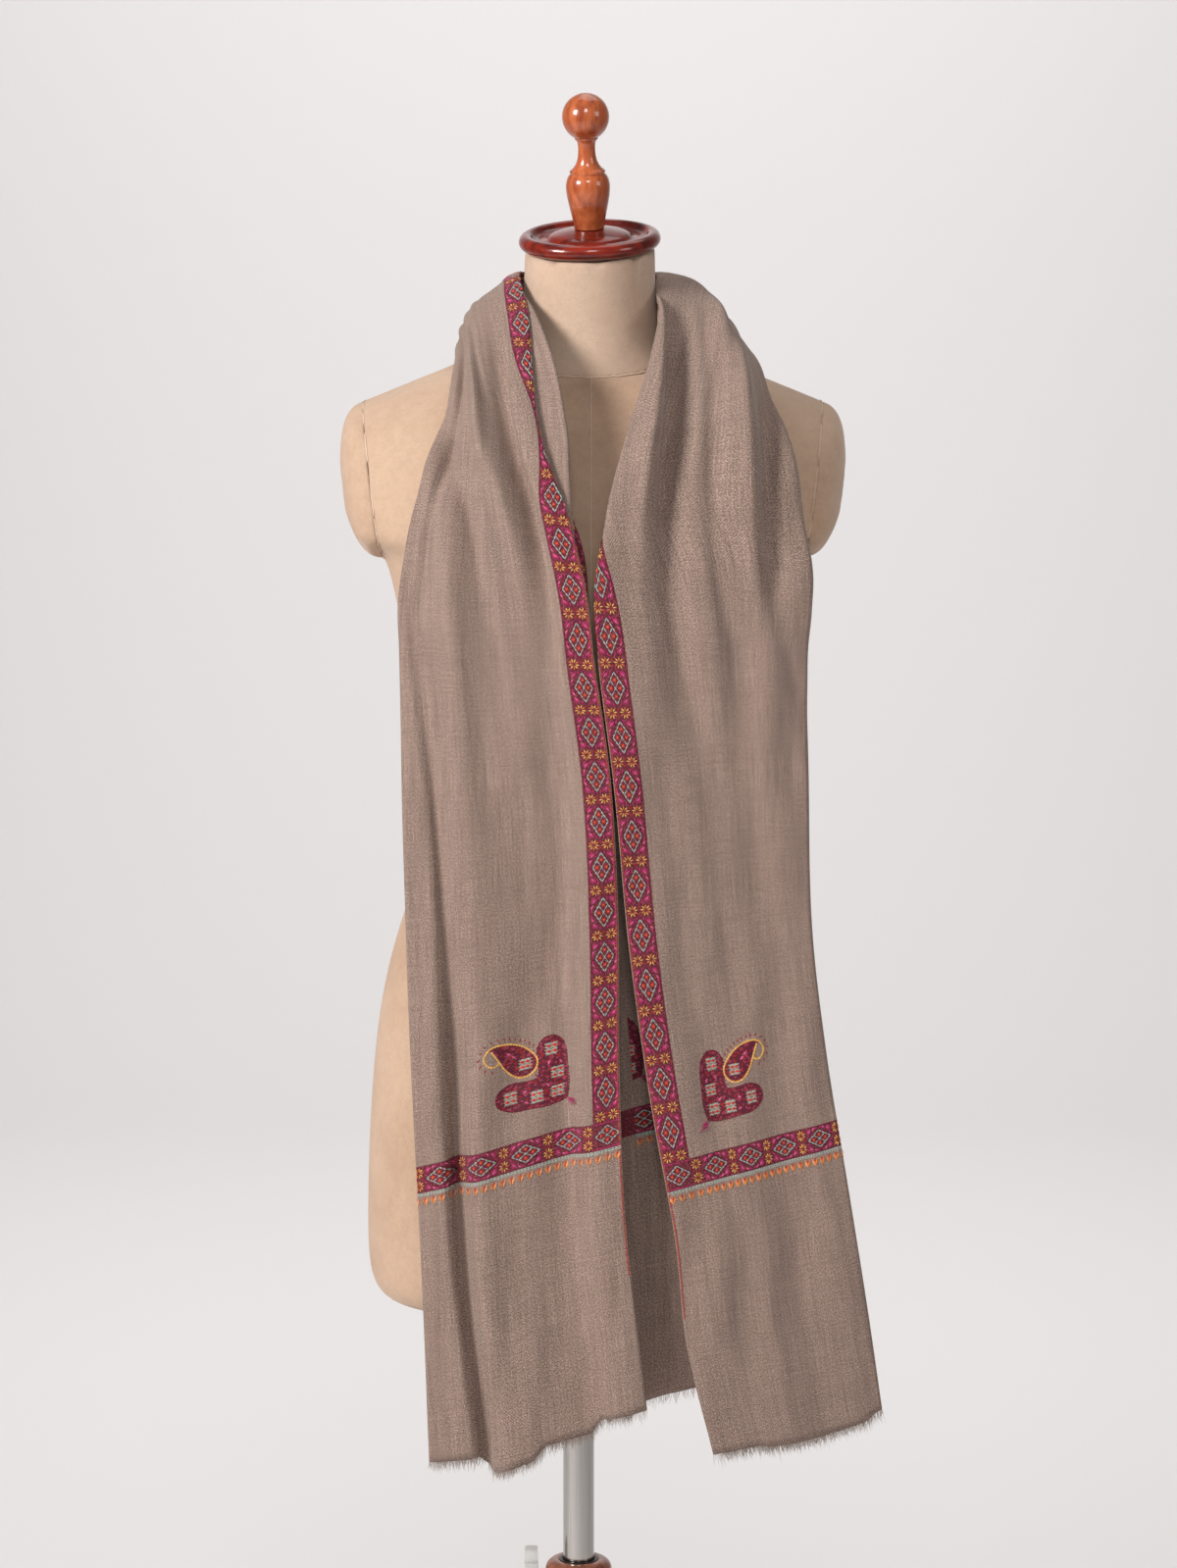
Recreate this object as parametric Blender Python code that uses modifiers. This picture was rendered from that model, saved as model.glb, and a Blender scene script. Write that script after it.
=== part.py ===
"""A fine wool shawl hung round the neck of a limbless dress form on a turned stand.

Metres, +Z up. The origin is on the floor, under the middle of the stand. The front of the form
faces -Y, and +X is on the viewer's right. The shawl is one long cloth, folded lengthwise into
four leaves, laid behind the neck and left to hang down the front in two falls.
"""
import math
from collections import namedtuple

import bmesh
import bpy
from mathutils import Euler, Matrix, Vector

# ---------------------------------------------------------------- driving dimensions
SEAM_GAP = 0.0003            # between pieces that touch
TURNED_STEPS = 24            # facets round a turned piece

CLOTH_LENGTH = 2.00          # hem to hem
CLOTH_WALL = 0.0012          # thickness of one leaf of the shawl
FRINGE_REACH = 0.007         # frayed warp ends below each hem
TURN_RADIUS = 0.004          # softness of the turned-under edge
FULL_TURN = 0.02             # the edge is fully soft from this much turned under

NECK_TILT = math.radians(16)     # the neck cap leans forward
NECK_ROLL = math.radians(-2)     # and a little to the viewer's left
CAP_CENTRE = Vector((0.0085, -0.012, 1.5060))
CAP_RADIUS = 0.0528

POLE_RADIUS = 0.012
POLE_FOOT = 0.250
POLE_CLEARANCE = 0.0004          # between the pole and the bore of the post
TORSO_FLOOR = 0.705              # underside of the form
POLE_SOCKET = 0.060              # how far the pole goes up into the form
POST_TOP = 0.500
POST_FOOT = 0.034
BORE_FLOOR = 0.130
KNOB_HEIGHT = 0.484
BASE_RADIUS = 0.230

# ---------------------------------------------------------------- scene and helpers
for old in list(bpy.data.objects):
    bpy.data.objects.remove(old, do_unlink=True)

model = bpy.data.collections.new("shawl_on_dress_form")
cutters = bpy.data.collections.new("cutters")
bpy.context.scene.collection.children.link(model)
bpy.context.scene.collection.children.link(cutters)


def material(name, colour, roughness, metallic=0.0):
    """One Principled material."""
    made = bpy.data.materials.new(name)
    made.use_nodes = True
    shader = made.node_tree.nodes["Principled BSDF"]
    shader.inputs["Base Color"].default_value = (*colour, 1.0)
    shader.inputs["Roughness"].default_value = roughness
    shader.inputs["Metallic"].default_value = metallic
    return made


def add_object(name, mesh, surface, collection=model):
    """An object for a mesh, in a collection, with its material."""
    piece = bpy.data.objects.new(name, mesh)
    collection.objects.link(piece)
    if surface:
        mesh.materials.append(surface)
    return piece


def ring_mesh(name, rings, closed_ring=True, capped=True):
    """A mesh lofted through rings of equal length; capped ends make it a solid."""
    work = bmesh.new()
    rows = [[work.verts.new(point) for point in ring] for ring in rings]
    count = len(rings[0])
    last = count if closed_ring else count - 1
    for lower, upper in zip(rows, rows[1:]):
        for i in range(last):
            j = (i + 1) % count
            work.faces.new((lower[i], lower[j], upper[j], upper[i]))
    if capped:
        work.faces.new(list(reversed(rows[0])))
        work.faces.new(rows[-1])
    mesh = bpy.data.meshes.new(name)
    work.to_mesh(mesh)
    work.free()
    return mesh


def turned(name, profile, surface):
    """A turned solid: its profile runs from the top of the axis down its outer side."""
    work = bmesh.new()
    verts = [work.verts.new((radius, 0.0, height)) for radius, height in profile]
    for upper, lower in zip(verts, verts[1:]):
        work.edges.new((upper, lower))
    mesh = bpy.data.meshes.new(name)
    work.to_mesh(mesh)
    work.free()
    piece = add_object(name, mesh, surface)
    screw = piece.modifiers.new("turning", "SCREW")
    screw.steps = TURNED_STEPS
    screw.render_steps = TURNED_STEPS
    screw.use_merge_vertices = True
    screw.merge_threshold = 0.00005
    return piece


def arc(centre_r, centre_z, radius, start, end, steps):
    """Points of a round stretch of a profile, angles in degrees from +X."""
    points = []
    for i in range(steps + 1):
        angle = math.radians(start + (end - start) * i / steps)
        points.append((centre_r + radius * math.cos(angle), centre_z + radius * math.sin(angle)))
    return points


SHAWL_CLOTH = material("shawl_cloth", (0.27, 0.21, 0.17), 0.9)
FRINGE_YARN = material("fringe_yarn", (0.33, 0.26, 0.21), 0.9)
FORM_COVER = material("form_cover", (0.56, 0.41, 0.29), 0.85)
TURNED_WOOD = material("turned_wood", (0.42, 0.09, 0.03), 0.25)
STAND_WOOD = material("stand_wood", (0.38, 0.16, 0.08), 0.4)
CHROME = material("chrome", (0.8, 0.8, 0.8), 0.12, 1.0)
KNOB_PLASTIC = material("knob_plastic", (0.85, 0.80, 0.78), 0.3)

# ---------------------------------------------------------------- finial and neck cap
neck_axis = bpy.data.objects.new("neck_axis", None)
neck_axis.location = CAP_CENTRE
neck_axis.rotation_euler = Euler((NECK_TILT, NECK_ROLL, 0.0))
model.objects.link(neck_axis)

CAP_THICKNESS = 0.0125
CAP_RIM = CAP_THICKNESS / 2
DOME_RADIUS = 0.0280
DOME_TOP = 0.0085

cap_profile = (
    [(0.0, DOME_TOP), (0.014, DOME_TOP)]
    + [(0.022, 0.0072), (DOME_RADIUS, 0.0028), (0.0335, 0.0020), (0.0385, 0.0030)]
    + [(0.0425, CAP_RIM)]
    + arc(CAP_RADIUS - CAP_RIM, 0.0, CAP_RIM, 80, -90, 6)
    + [(0.0, -CAP_RIM)]
)
neck_cap = turned("neck_cap", cap_profile, TURNED_WOOD)
neck_cap.parent = neck_axis

BALL_RADIUS = 0.0174
BALL_CENTRE = 0.0823
finial_profile = (
    arc(0.0, BALL_CENTRE, BALL_RADIUS, 90, -58, 8)
    + [(0.0066, 0.0600), (0.0063, 0.0530), (0.0085, 0.0465), (0.0122, 0.0415)]
    + [(0.0155, 0.0370), (0.0165, 0.0307), (0.0152, 0.0220), (0.0126, 0.0100), (0.0111, 0.0)]
    + [(0.0, 0.0)]
)
finial = turned("finial", finial_profile, TURNED_WOOD)
finial.parent = neck_axis
finial.location = (0.0, 0.0, DOME_TOP + SEAM_GAP)

# ---------------------------------------------------------------- dress form
# One section of the form: its centre, half width, reach to the front and back, how square it
# is (2 is an ellipse), and how far it tips forward in degrees.
FormSection = namedtuple("FormSection", "z x half_width y_front y_back square tip")
FORM_SECTIONS = [FormSection(*row) for row in (
    (0.7050, 0.0040, 0.1390, -0.085, 0.089, 2.2, 0),
    (0.7080, 0.0040, 0.1500, -0.095, 0.099, 2.2, 0),
    (0.7150, 0.0040, 0.1590, -0.103, 0.107, 2.2, 0),
    (0.7340, 0.0045, 0.1665, -0.108, 0.113, 2.2, 0),
    (0.7900, 0.0050, 0.1665, -0.109, 0.117, 2.2, 0),
    (0.8370, 0.0055, 0.1655, -0.107, 0.118, 2.2, 0),
    (0.8810, 0.0060, 0.1630, -0.103, 0.115, 2.2, 0),
    (0.9250, 0.0065, 0.1590, -0.098, 0.108, 2.2, 0),
    (0.9720, 0.0070, 0.1500, -0.092, 0.098, 2.2, 0),
    (1.0110, 0.0075, 0.1370, -0.087, 0.089, 2.2, 0),
    (1.0550, 0.0080, 0.1250, -0.085, 0.083, 2.2, 0),
    (1.1000, 0.0085, 0.1200, -0.090, 0.082, 2.2, 0),
    (1.1500, 0.0090, 0.1270, -0.104, 0.086, 2.2, 0),
    (1.2000, 0.0095, 0.1380, -0.118, 0.091, 2.2, 0),
    (1.2350, 0.0100, 0.1460, -0.119, 0.095, 2.3, 0),
    (1.2620, 0.0105, 0.1520, -0.114, 0.097, 2.5, 0),
    (1.2740, 0.0108, 0.1580, -0.111, 0.098, 2.7, 0),
    (1.2830, 0.0108, 0.1760, -0.108, 0.098, 2.8, 0),
    (1.3050, 0.0108, 0.1900, -0.099, 0.095, 3.0, 0),
    (1.3400, 0.0108, 0.1930, -0.088, 0.090, 2.8, 1),
    (1.3680, 0.0108, 0.1860, -0.076, 0.083, 2.7, 3),
    (1.3870, 0.0108, 0.1720, -0.066, 0.075, 2.5, 6),
    (1.3990, 0.0105, 0.1420, -0.062, 0.070, 2.3, 10),
    (1.4120, 0.0098, 0.1050, -0.062, 0.068, 2.2, 15),
    (1.4205, 0.0090, 0.0780, -0.064, 0.066, 2.1, 19),
    (1.4240, 0.0085, 0.0670, -0.064, 0.064, 2.0, 20),
)]
NECK_SECTIONS = [FormSection(*row) for row in (
    (1.4243, 0.0085, 0.0670, -0.064, 0.064, 2.0, 20),
    (1.4330, 0.0085, 0.0580, -0.060, 0.057, 2.0, 19),
    (1.4450, 0.0085, 0.0525, -0.056, 0.050, 2.0, 18),
    (1.4600, 0.0085, 0.0500, -0.055, 0.045, 2.0, 17),
    (1.4800, 0.0085, 0.0488, -0.057, 0.041, 2.0, 16),
)]
NECK_TOP_RADIUS = 0.0486
FORM_SIDES = 36
ARM_SEAM_TOP = (0.1714, 1.3863)      # distance out from the middle of the form, and height
ARM_SEAM_BOTTOM = (0.1566, 1.2771)
FORM_MIDDLE = 0.0108
ARM_CAP_REACH = 0.024
SHOULDERS_START = 1.19               # the arm seams cut nothing below this height
ARM_CAP_RINGS = 5


def form_ring(section):
    """The points of one section, a rounded oval that tips about its middle."""
    points = []
    middle_y = (section.y_front + section.y_back) / 2
    half_depth = (section.y_back - section.y_front) / 2
    tip = math.radians(section.tip)
    for i in range(FORM_SIDES):
        angle = 2 * math.pi * (i + 0.5) / FORM_SIDES
        cosine, sine = math.cos(angle), math.sin(angle)
        power = 2 / section.square
        across = section.half_width * math.copysign(abs(cosine) ** power, cosine)
        along = half_depth * math.copysign(abs(sine) ** power, sine)
        points.append((
            section.x + across,
            middle_y + along * math.cos(tip),
            section.z + along * math.sin(tip),
        ))
    return points


def arm_plane(side):
    """A point and the outward direction of the seam plane of one arm cap."""
    top = Vector((FORM_MIDDLE + side * ARM_SEAM_TOP[0], 0.0, ARM_SEAM_TOP[1]))
    bottom = Vector((FORM_MIDDLE + side * ARM_SEAM_BOTTOM[0], 0.0, ARM_SEAM_BOTTOM[1]))
    down = (bottom - top).normalized()
    return (top + bottom) / 2, Vector((-down.z * side, 0.0, down.x * side))


def build_torso():
    """The covered torso, open for nothing but the pole, cut flat at both arm seams."""
    mesh = ring_mesh("form_torso", [form_ring(section) for section in FORM_SECTIONS])
    work = bmesh.new()
    work.from_mesh(mesh)
    seams = {}
    for side in (-1, 1):
        point, outward = arm_plane(side)
        shoulders = [
            item for item in work.faces if all(vert.co.z > SHOULDERS_START for vert in item.verts)
        ]
        edges = list({edge for face in shoulders for edge in face.edges})
        verts = list({vert for face in shoulders for vert in face.verts})
        cut = bmesh.ops.bisect_plane(
            work, geom=verts + edges + shoulders, dist=0.00001,
            plane_co=point, plane_no=outward, clear_outer=True,
        )
        edges = [item for item in cut["geom_cut"] if isinstance(item, bmesh.types.BMEdge)]
        filled = bmesh.ops.contextual_create(work, geom=edges)
        seams[side] = [vert.co.copy() for vert in filled["faces"][0].verts]
    bmesh.ops.recalc_face_normals(work, faces=work.faces[:])
    work.to_mesh(mesh)
    work.free()
    return add_object("form_torso", mesh, FORM_COVER), seams


def build_arm_cap(name, side, outline):
    """A padded cap: the seam's outline swelling outwards to a round end."""
    point, outward = arm_plane(side)
    centre = sum(outline, Vector()) / len(outline)
    rings = []
    for i in range(ARM_CAP_RINGS):
        share = math.sin(math.pi / 2 * i / ARM_CAP_RINGS)
        size = (1.0 - share ** 2.4) ** (1 / 2.4)
        lift = outward * (SEAM_GAP + ARM_CAP_REACH * share)
        rings.append([centre + (spot - centre) * size + lift for spot in outline])
    mesh = ring_mesh(name, rings)
    work = bmesh.new()
    work.from_mesh(mesh)
    bmesh.ops.recalc_face_normals(work, faces=work.faces[:])
    work.to_mesh(mesh)
    work.free()
    return add_object(name, mesh, FORM_COVER)


form_torso, arm_outlines = build_torso()
form_cap_left = build_arm_cap("form_cap_left", -1, arm_outlines[-1])
form_cap_right = build_arm_cap("form_cap_right", 1, arm_outlines[1])
cap_frame = Matrix.Translation(CAP_CENTRE) @ neck_axis.rotation_euler.to_matrix().to_4x4()
neck_top = []
for i in range(FORM_SIDES):
    angle = 2 * math.pi * (i + 0.5) / FORM_SIDES
    rim = (NECK_TOP_RADIUS * math.cos(angle), NECK_TOP_RADIUS * math.sin(angle))
    neck_top.append(cap_frame @ Vector((*rim, -CAP_RIM - SEAM_GAP)))
neck_rings = [form_ring(section) for section in NECK_SECTIONS] + [neck_top]
form_neck = add_object("form_neck", ring_mesh("form_neck", neck_rings), FORM_COVER)

bpy.ops.mesh.primitive_cylinder_add(
    vertices=TURNED_STEPS,
    radius=POLE_RADIUS + SEAM_GAP,
    depth=2 * POLE_SOCKET,
    location=(0.0, 0.0, TORSO_FLOOR),
)
pole_hole = bpy.context.active_object
pole_hole.name = "pole_hole"
for holder in list(pole_hole.users_collection):
    holder.objects.unlink(pole_hole)
cutters.objects.link(pole_hole)
pole_hole.hide_render = True
pole_hole.display_type = "WIRE"
hole = form_torso.modifiers.new("pole_hole", "BOOLEAN")
hole.operation = "DIFFERENCE"
hole.object = pole_hole

# ---------------------------------------------------------------- pole and stand
pole_top = TORSO_FLOOR + POLE_SOCKET - SEAM_GAP
pole_profile = [
    (0.0, pole_top), (POLE_RADIUS, pole_top),
    (POLE_RADIUS, POLE_FOOT), (0.0, POLE_FOOT),
]
pole = turned("pole", pole_profile, CHROME)

POST_RADIUS = 0.0255
BORE_RADIUS = POLE_RADIUS + POLE_CLEARANCE
post_profile = (
    [(0.0, BORE_FLOOR), (BORE_RADIUS, BORE_FLOOR), (BORE_RADIUS, POST_TOP)]
    + arc(POST_RADIUS - 0.008, POST_TOP - 0.008, 0.008, 90, 0, 3)
    + [(POST_RADIUS, 0.420), (0.0215, 0.400), (0.0200, 0.385), (0.0240, 0.330)]
    + [(0.0285, 0.250), (0.0275, 0.180), (0.0225, 0.120), (0.0215, 0.105), (0.0300, 0.090)]
    + [(0.0360, 0.075), (0.0360, 0.060), (0.0430, 0.045), (0.0430, POST_FOOT + SEAM_GAP)]
    + [(0.0, POST_FOOT + SEAM_GAP)]
)
base_post = turned("base_post", post_profile, STAND_WOOD)
bpy.ops.mesh.primitive_cylinder_add(
    vertices=12,
    radius=0.0043,
    depth=0.030,
    location=(-BORE_RADIUS - 0.010, 0.0, KNOB_HEIGHT),
    rotation=(0.0, math.pi / 2, 0.0),
)
screw_hole = bpy.context.active_object
screw_hole.name = "screw_hole"
for holder in list(screw_hole.users_collection):
    holder.objects.unlink(screw_hole)
cutters.objects.link(screw_hole)
screw_hole.hide_render = True
screw_hole.display_type = "WIRE"
threaded = base_post.modifiers.new("screw_hole", "BOOLEAN")
threaded.operation = "DIFFERENCE"
threaded.object = screw_hole

base_profile = [
    (0.0, POST_FOOT), (0.060, POST_FOOT), (0.100, 0.0315), (0.170, 0.0285), (0.205, 0.0240),
    (0.213, 0.0200), (0.220, 0.0200), (BASE_RADIUS - 0.002, 0.0180), (BASE_RADIUS, 0.0120),
    (BASE_RADIUS, 0.0030), (BASE_RADIUS - 0.003, 0.0), (0.0, 0.0),
]
base_disc = turned("base_disc", base_profile, STAND_WOOD)

# The clamp screw's wing knob: a four-lobed head on a short stem, on the viewer's left.
KNOB_LOBES = 4
KNOB_POINTS = 32
KNOB_INNER = 0.009
KNOB_OUTER = 0.026
KNOB_THICKNESS = 0.010
STEM_RADIUS = 0.0040
STEM_END = -BORE_RADIUS + 0.0001
HEAD_NEAR = -0.0315
HEAD_COLLAR = 0.0075


def knob_ring(x, scale):
    """One outline of the lobed head, at a distance out from the pole's axis."""
    points = []
    for i in range(KNOB_POINTS):
        angle = 2 * math.pi * i / KNOB_POINTS
        lobe = (0.5 + 0.5 * math.cos(KNOB_LOBES * angle)) ** 0.7
        radius = (KNOB_INNER + (KNOB_OUTER - KNOB_INNER) * lobe) * scale
        points.append((x, radius * math.sin(angle), KNOB_HEIGHT + radius * math.cos(angle)))
    return points


def stem_ring(x, radius):
    """One round section of the screw stem."""
    points = []
    for i in range(KNOB_POINTS):
        angle = 2 * math.pi * i / KNOB_POINTS
        points.append((x, radius * math.sin(angle), KNOB_HEIGHT + radius * math.cos(angle)))
    return points


knob_rings = [
    stem_ring(STEM_END - 0.0008, STEM_RADIUS),
    stem_ring(HEAD_NEAR + 0.003, STEM_RADIUS),
    stem_ring(HEAD_NEAR, HEAD_COLLAR),
    knob_ring(HEAD_NEAR - 0.001, 0.9),
    knob_ring(HEAD_NEAR - 0.003, 1.0),
    knob_ring(HEAD_NEAR - KNOB_THICKNESS + 0.002, 1.0),
    knob_ring(HEAD_NEAR - KNOB_THICKNESS, 0.9),
]
clamp_knob = add_object("clamp_knob", ring_mesh("clamp_knob", knob_rings), KNOB_PLASTIC)

# ---------------------------------------------------------------- the hanging cloth
# Stations along the shawl, from the left hem, over the neck, to the right hem. Each gives the
# front leaf's inner edge and outer edge, how far the leaf swells between them, the spacing of
# the four leaves, the margin turned under along selvedge A, how far the inner fold stands
# outside the inner edge (negative peeks past it), and where selvedge B ends, measured the same.
Station = namedtuple("Station", "inner outer swell spacing turned peek under")
STATIONS = [Station(row[0:3], row[3:6], *row[6:]) for row in (
    # inner x, y, z            outer x, y, z             swell  spacing turned peek    under
    (0.0500, -0.150, 0.657, -0.1090, -0.128, 0.612, 0.004, 0.0045, 0.000, 0.012, -0.046),
    (0.0350, -0.151, 0.790, -0.1140, -0.129, 0.750, 0.004, 0.0045, 0.000, 0.012, -0.056),
    (0.0300, -0.152, 0.900, -0.1190, -0.130, 0.860, 0.004, 0.0045, 0.000, 0.012, -0.055),
    (0.0290, -0.152, 1.010, -0.1240, -0.130, 0.985, 0.004, 0.0045, 0.000, 0.012, -0.038),
    (0.0240, -0.152, 1.110, -0.1265, -0.129, 1.100, 0.004, 0.0045, 0.000, 0.012, -0.008),
    (0.0125, -0.152, 1.195, -0.1285, -0.126, 1.200, 0.004, 0.0045, 0.000, 0.010, 0.002),
    (0.0075, -0.151, 1.240, -0.1295, -0.122, 1.240, 0.004, 0.0045, 0.000, 0.008, 0.002),
    (-0.0005, -0.148, 1.278, -0.1240, -0.116, 1.284, 0.004, 0.0040, 0.000, 0.003, -0.002),
    (-0.0105, -0.142, 1.312, -0.1160, -0.106, 1.318, 0.005, 0.0040, 0.000, -0.004, 0.000),
    (-0.0220, -0.133, 1.342, -0.1075, -0.095, 1.348, 0.006, 0.0040, 0.000, -0.014, 0.004),
    (-0.0300, -0.118, 1.372, -0.1010, -0.080, 1.378, 0.007, 0.0038, 0.000, -0.021, 0.008),
    (-0.0335, -0.092, 1.408, -0.0985, -0.056, 1.403, 0.008, 0.0034, 0.000, -0.018, 0.010),
    (-0.0385, -0.060, 1.444, -0.0990, -0.024, 1.421, 0.010, 0.0030, 0.000, -0.006, 0.010),
    (-0.0490, -0.022, 1.471, -0.1010, 0.016, 1.429, 0.012, 0.0028, 0.000, 0.004, 0.010),
    (-0.0480, 0.023, 1.482, -0.0890, 0.064, 1.429, 0.012, 0.0028, 0.000, 0.004, 0.010),
    (-0.0240, 0.056, 1.482, -0.0480, 0.098, 1.417, 0.010, 0.0028, 0.000, 0.004, 0.010),
    (0.0085, 0.067, 1.480, 0.0085, 0.110, 1.407, 0.009, 0.0028, 0.010, 0.004, 0.010),
    (0.0430, 0.061, 1.482, 0.0690, 0.102, 1.416, 0.010, 0.0028, 0.022, 0.004, 0.010),
    (0.0680, 0.027, 1.483, 0.1120, 0.073, 1.427, 0.012, 0.0028, 0.032, 0.004, 0.010),
    (0.0680, -0.016, 1.472, 0.1310, 0.023, 1.426, 0.013, 0.0030, 0.040, 0.004, 0.010),
    (0.0590, -0.054, 1.442, 0.1370, -0.028, 1.413, 0.012, 0.0034, 0.040, 0.004, 0.010),
    (0.0500, -0.088, 1.408, 0.1440, -0.066, 1.391, 0.010, 0.0038, 0.040, 0.006, 0.010),
    (0.0400, -0.114, 1.376, 0.1530, -0.092, 1.362, 0.008, 0.0040, 0.040, 0.008, 0.010),
    (0.0300, -0.132, 1.342, 0.1600, -0.106, 1.330, 0.006, 0.0040, 0.040, 0.008, 0.010),
    (0.0220, -0.142, 1.312, 0.1640, -0.113, 1.296, 0.005, 0.0042, 0.034, 0.008, 0.010),
    (0.0170, -0.149, 1.282, 0.1690, -0.119, 1.262, 0.004, 0.0045, 0.018, 0.008, 0.010),
    (0.0120, -0.151, 1.245, 0.1680, -0.124, 1.232, 0.004, 0.0045, 0.004, 0.008, 0.010),
    (0.0150, -0.152, 1.195, 0.1650, -0.128, 1.195, 0.004, 0.0045, 0.000, 0.008, 0.010),
    (0.0260, -0.152, 1.105, 0.1660, -0.130, 1.110, 0.004, 0.0045, 0.000, 0.008, 0.010),
    (0.0370, -0.152, 0.990, 0.1690, -0.131, 1.005, 0.004, 0.0045, 0.000, 0.008, 0.012),
    (0.0510, -0.152, 0.890, 0.1800, -0.131, 0.915, 0.004, 0.0045, 0.000, 0.008, 0.012),
    (0.0700, -0.152, 0.780, 0.1970, -0.130, 0.812, 0.004, 0.0045, 0.000, 0.008, 0.012),
    (0.0790, -0.151, 0.700, 0.2110, -0.129, 0.728, 0.004, 0.0045, 0.000, 0.008, 0.012),
    (0.0980, -0.150, 0.620, 0.2225, -0.128, 0.655, 0.004, 0.0045, 0.000, 0.008, 0.012),
)]
BEHIND_SINK = 0.018          # how far selvedge B's leaf lies back where it passes the inner edge
SINK_TOP = 1.15              # it starts to lie back below this height, over the next stretch
SINK_FADE = 0.10
BACK_FOLD_INSET = 0.004      # the third fold lies this far inside the first
LEFT_END = 0.800             # where the left fall gives way to the stretch behind the neck
RIGHT_START = 1.200
STRETCH_GAP = 0.0007         # each stretch of the cloth ends this far from where they meet

# Where a section's points lie: on the margin turned under, by the inner edge, and beyond it.
TURN_SHARES = (0.0, 0.5, 1.0)
SHORTEST_TURN = 0.006
EDGE_REACHES = [0.018, 0.026, 0.036, 0.050, 0.070]
OUTER_SHARES = (0.35, 0.70, 1.0)
OUTER_MARGIN = 0.012
FOLD_ANGLES = (-60, 0, 60)    # degrees round a lengthwise fold

# Large soft folds of all four leaves: where along the cloth a fold is deepest (as a share of
# the length), how long it is, how far it lies from the inner edge (negative is in from the
# outer edge), its drift outwards along the cloth, its half width on the inner and on the outer
# side, and its depth (negative is a ridge).
Crease = namedtuple("Crease", "middle reach out drift inner_side outer_side depth")
CREASES = [Crease(*row) for row in (
    (0.372, 0.045, 0.027, -0.08, 0.007, 0.012, 0.011),
    (0.378, 0.045, 0.050, 0.00, 0.009, 0.010, -0.004),
    (0.410, 0.055, -0.014, 0.00, 0.006, 0.004, 0.006),
    (0.060, 0.120, 0.125, 0.02, 0.004, 0.014, 0.009),
    (0.150, 0.150, 0.065, 0.00, 0.018, 0.018, -0.003),
    (0.632, 0.050, 0.031, 0.24, 0.008, 0.015, 0.014),
    (0.640, 0.070, 0.085, 0.70, 0.014, 0.014, -0.006),
    (0.920, 0.150, 0.085, 0.05, 0.016, 0.016, 0.003),
)]

# How much lower than a straight cut each fall's hem hangs, at distances from the inner edge.
HemDrop = namedtuple("HemDrop", "out left right")
HEM_DROPS = [HemDrop(*row) for row in (
    (0.000, 0.000, -0.004),
    (0.036, 0.000, 0.000),
    (0.044, 0.010, 0.003),
    (0.078, 0.009, 0.008),
    (0.086, 0.017, 0.009),
    (0.118, 0.020, 0.008),
    (0.127, 0.006, 0.004),
    (0.165, 0.000, 0.000),
)]
HEM_FADE = 0.25              # the drop is taken up over this much cloth


def spline(values, spot):
    """A smooth curve through evenly numbered values, read at a fractional number."""
    last = len(values) - 1
    i = min(max(int(math.floor(spot)), 0), last - 1)
    t = spot - i
    before = values[i - 1] if i > 0 else 2 * values[0] - values[1]
    after = values[i + 2] if i + 2 <= last else 2 * values[last] - values[last - 1]
    start, end = values[i], values[i + 1]
    return start + 0.5 * t * (
        end - before + t * (
            2 * before - 5 * start + 4 * end - after + t * (3 * (start - end) + after - before)
        )
    )


INNER = [Vector(station.inner) for station in STATIONS]
OUTER = [Vector(station.outer) for station in STATIONS]
FINE = 40                    # steps between stations when the cloth's length is measured
NEAR_BY = 0.05               # share of a station step used to find the cloth's direction


def measured_length():
    """The length along the middle of the front leaf at fine steps, scaled to the cloth."""
    steps = FINE * (len(STATIONS) - 1)
    lengths = [0.0]
    spot = (spline(INNER, 0) + spline(OUTER, 0)) / 2
    for i in range(1, steps + 1):
        following = (spline(INNER, i / FINE) + spline(OUTER, i / FINE)) / 2
        lengths.append(lengths[-1] + (following - spot).length)
        spot = following
    return [length * CLOTH_LENGTH / lengths[-1] for length in lengths]


LENGTHS = measured_length()


def station_at(v):
    """The fractional station number at a distance v along the cloth; hems run on straight."""
    if v <= 0.0:
        return v / (LENGTHS[1] * FINE)
    for i in range(1, len(LENGTHS)):
        if v <= LENGTHS[i]:
            return (i - (LENGTHS[i] - v) / (LENGTHS[i] - LENGTHS[i - 1])) / FINE
    run_on = (v - CLOTH_LENGTH) / (LENGTHS[-1] - LENGTHS[-2]) / FINE
    return len(STATIONS) - 1 + run_on


def column(name, spot):
    """One named column of the stations, read smoothly."""
    return spline([getattr(station, name) for station in STATIONS], spot)


def hem_drop(reach, side):
    """The extra hang of one fall's hem at a distance from its inner edge."""
    for near, far in zip(HEM_DROPS, HEM_DROPS[1:]):
        if reach <= far.out:
            share = min(max((reach - near.out) / (far.out - near.out), 0.0), 1.0)
            share = share * share * (3 - 2 * share)
            return getattr(near, side) * (1 - share) + getattr(far, side) * share
    return getattr(HEM_DROPS[-1], side)


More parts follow.
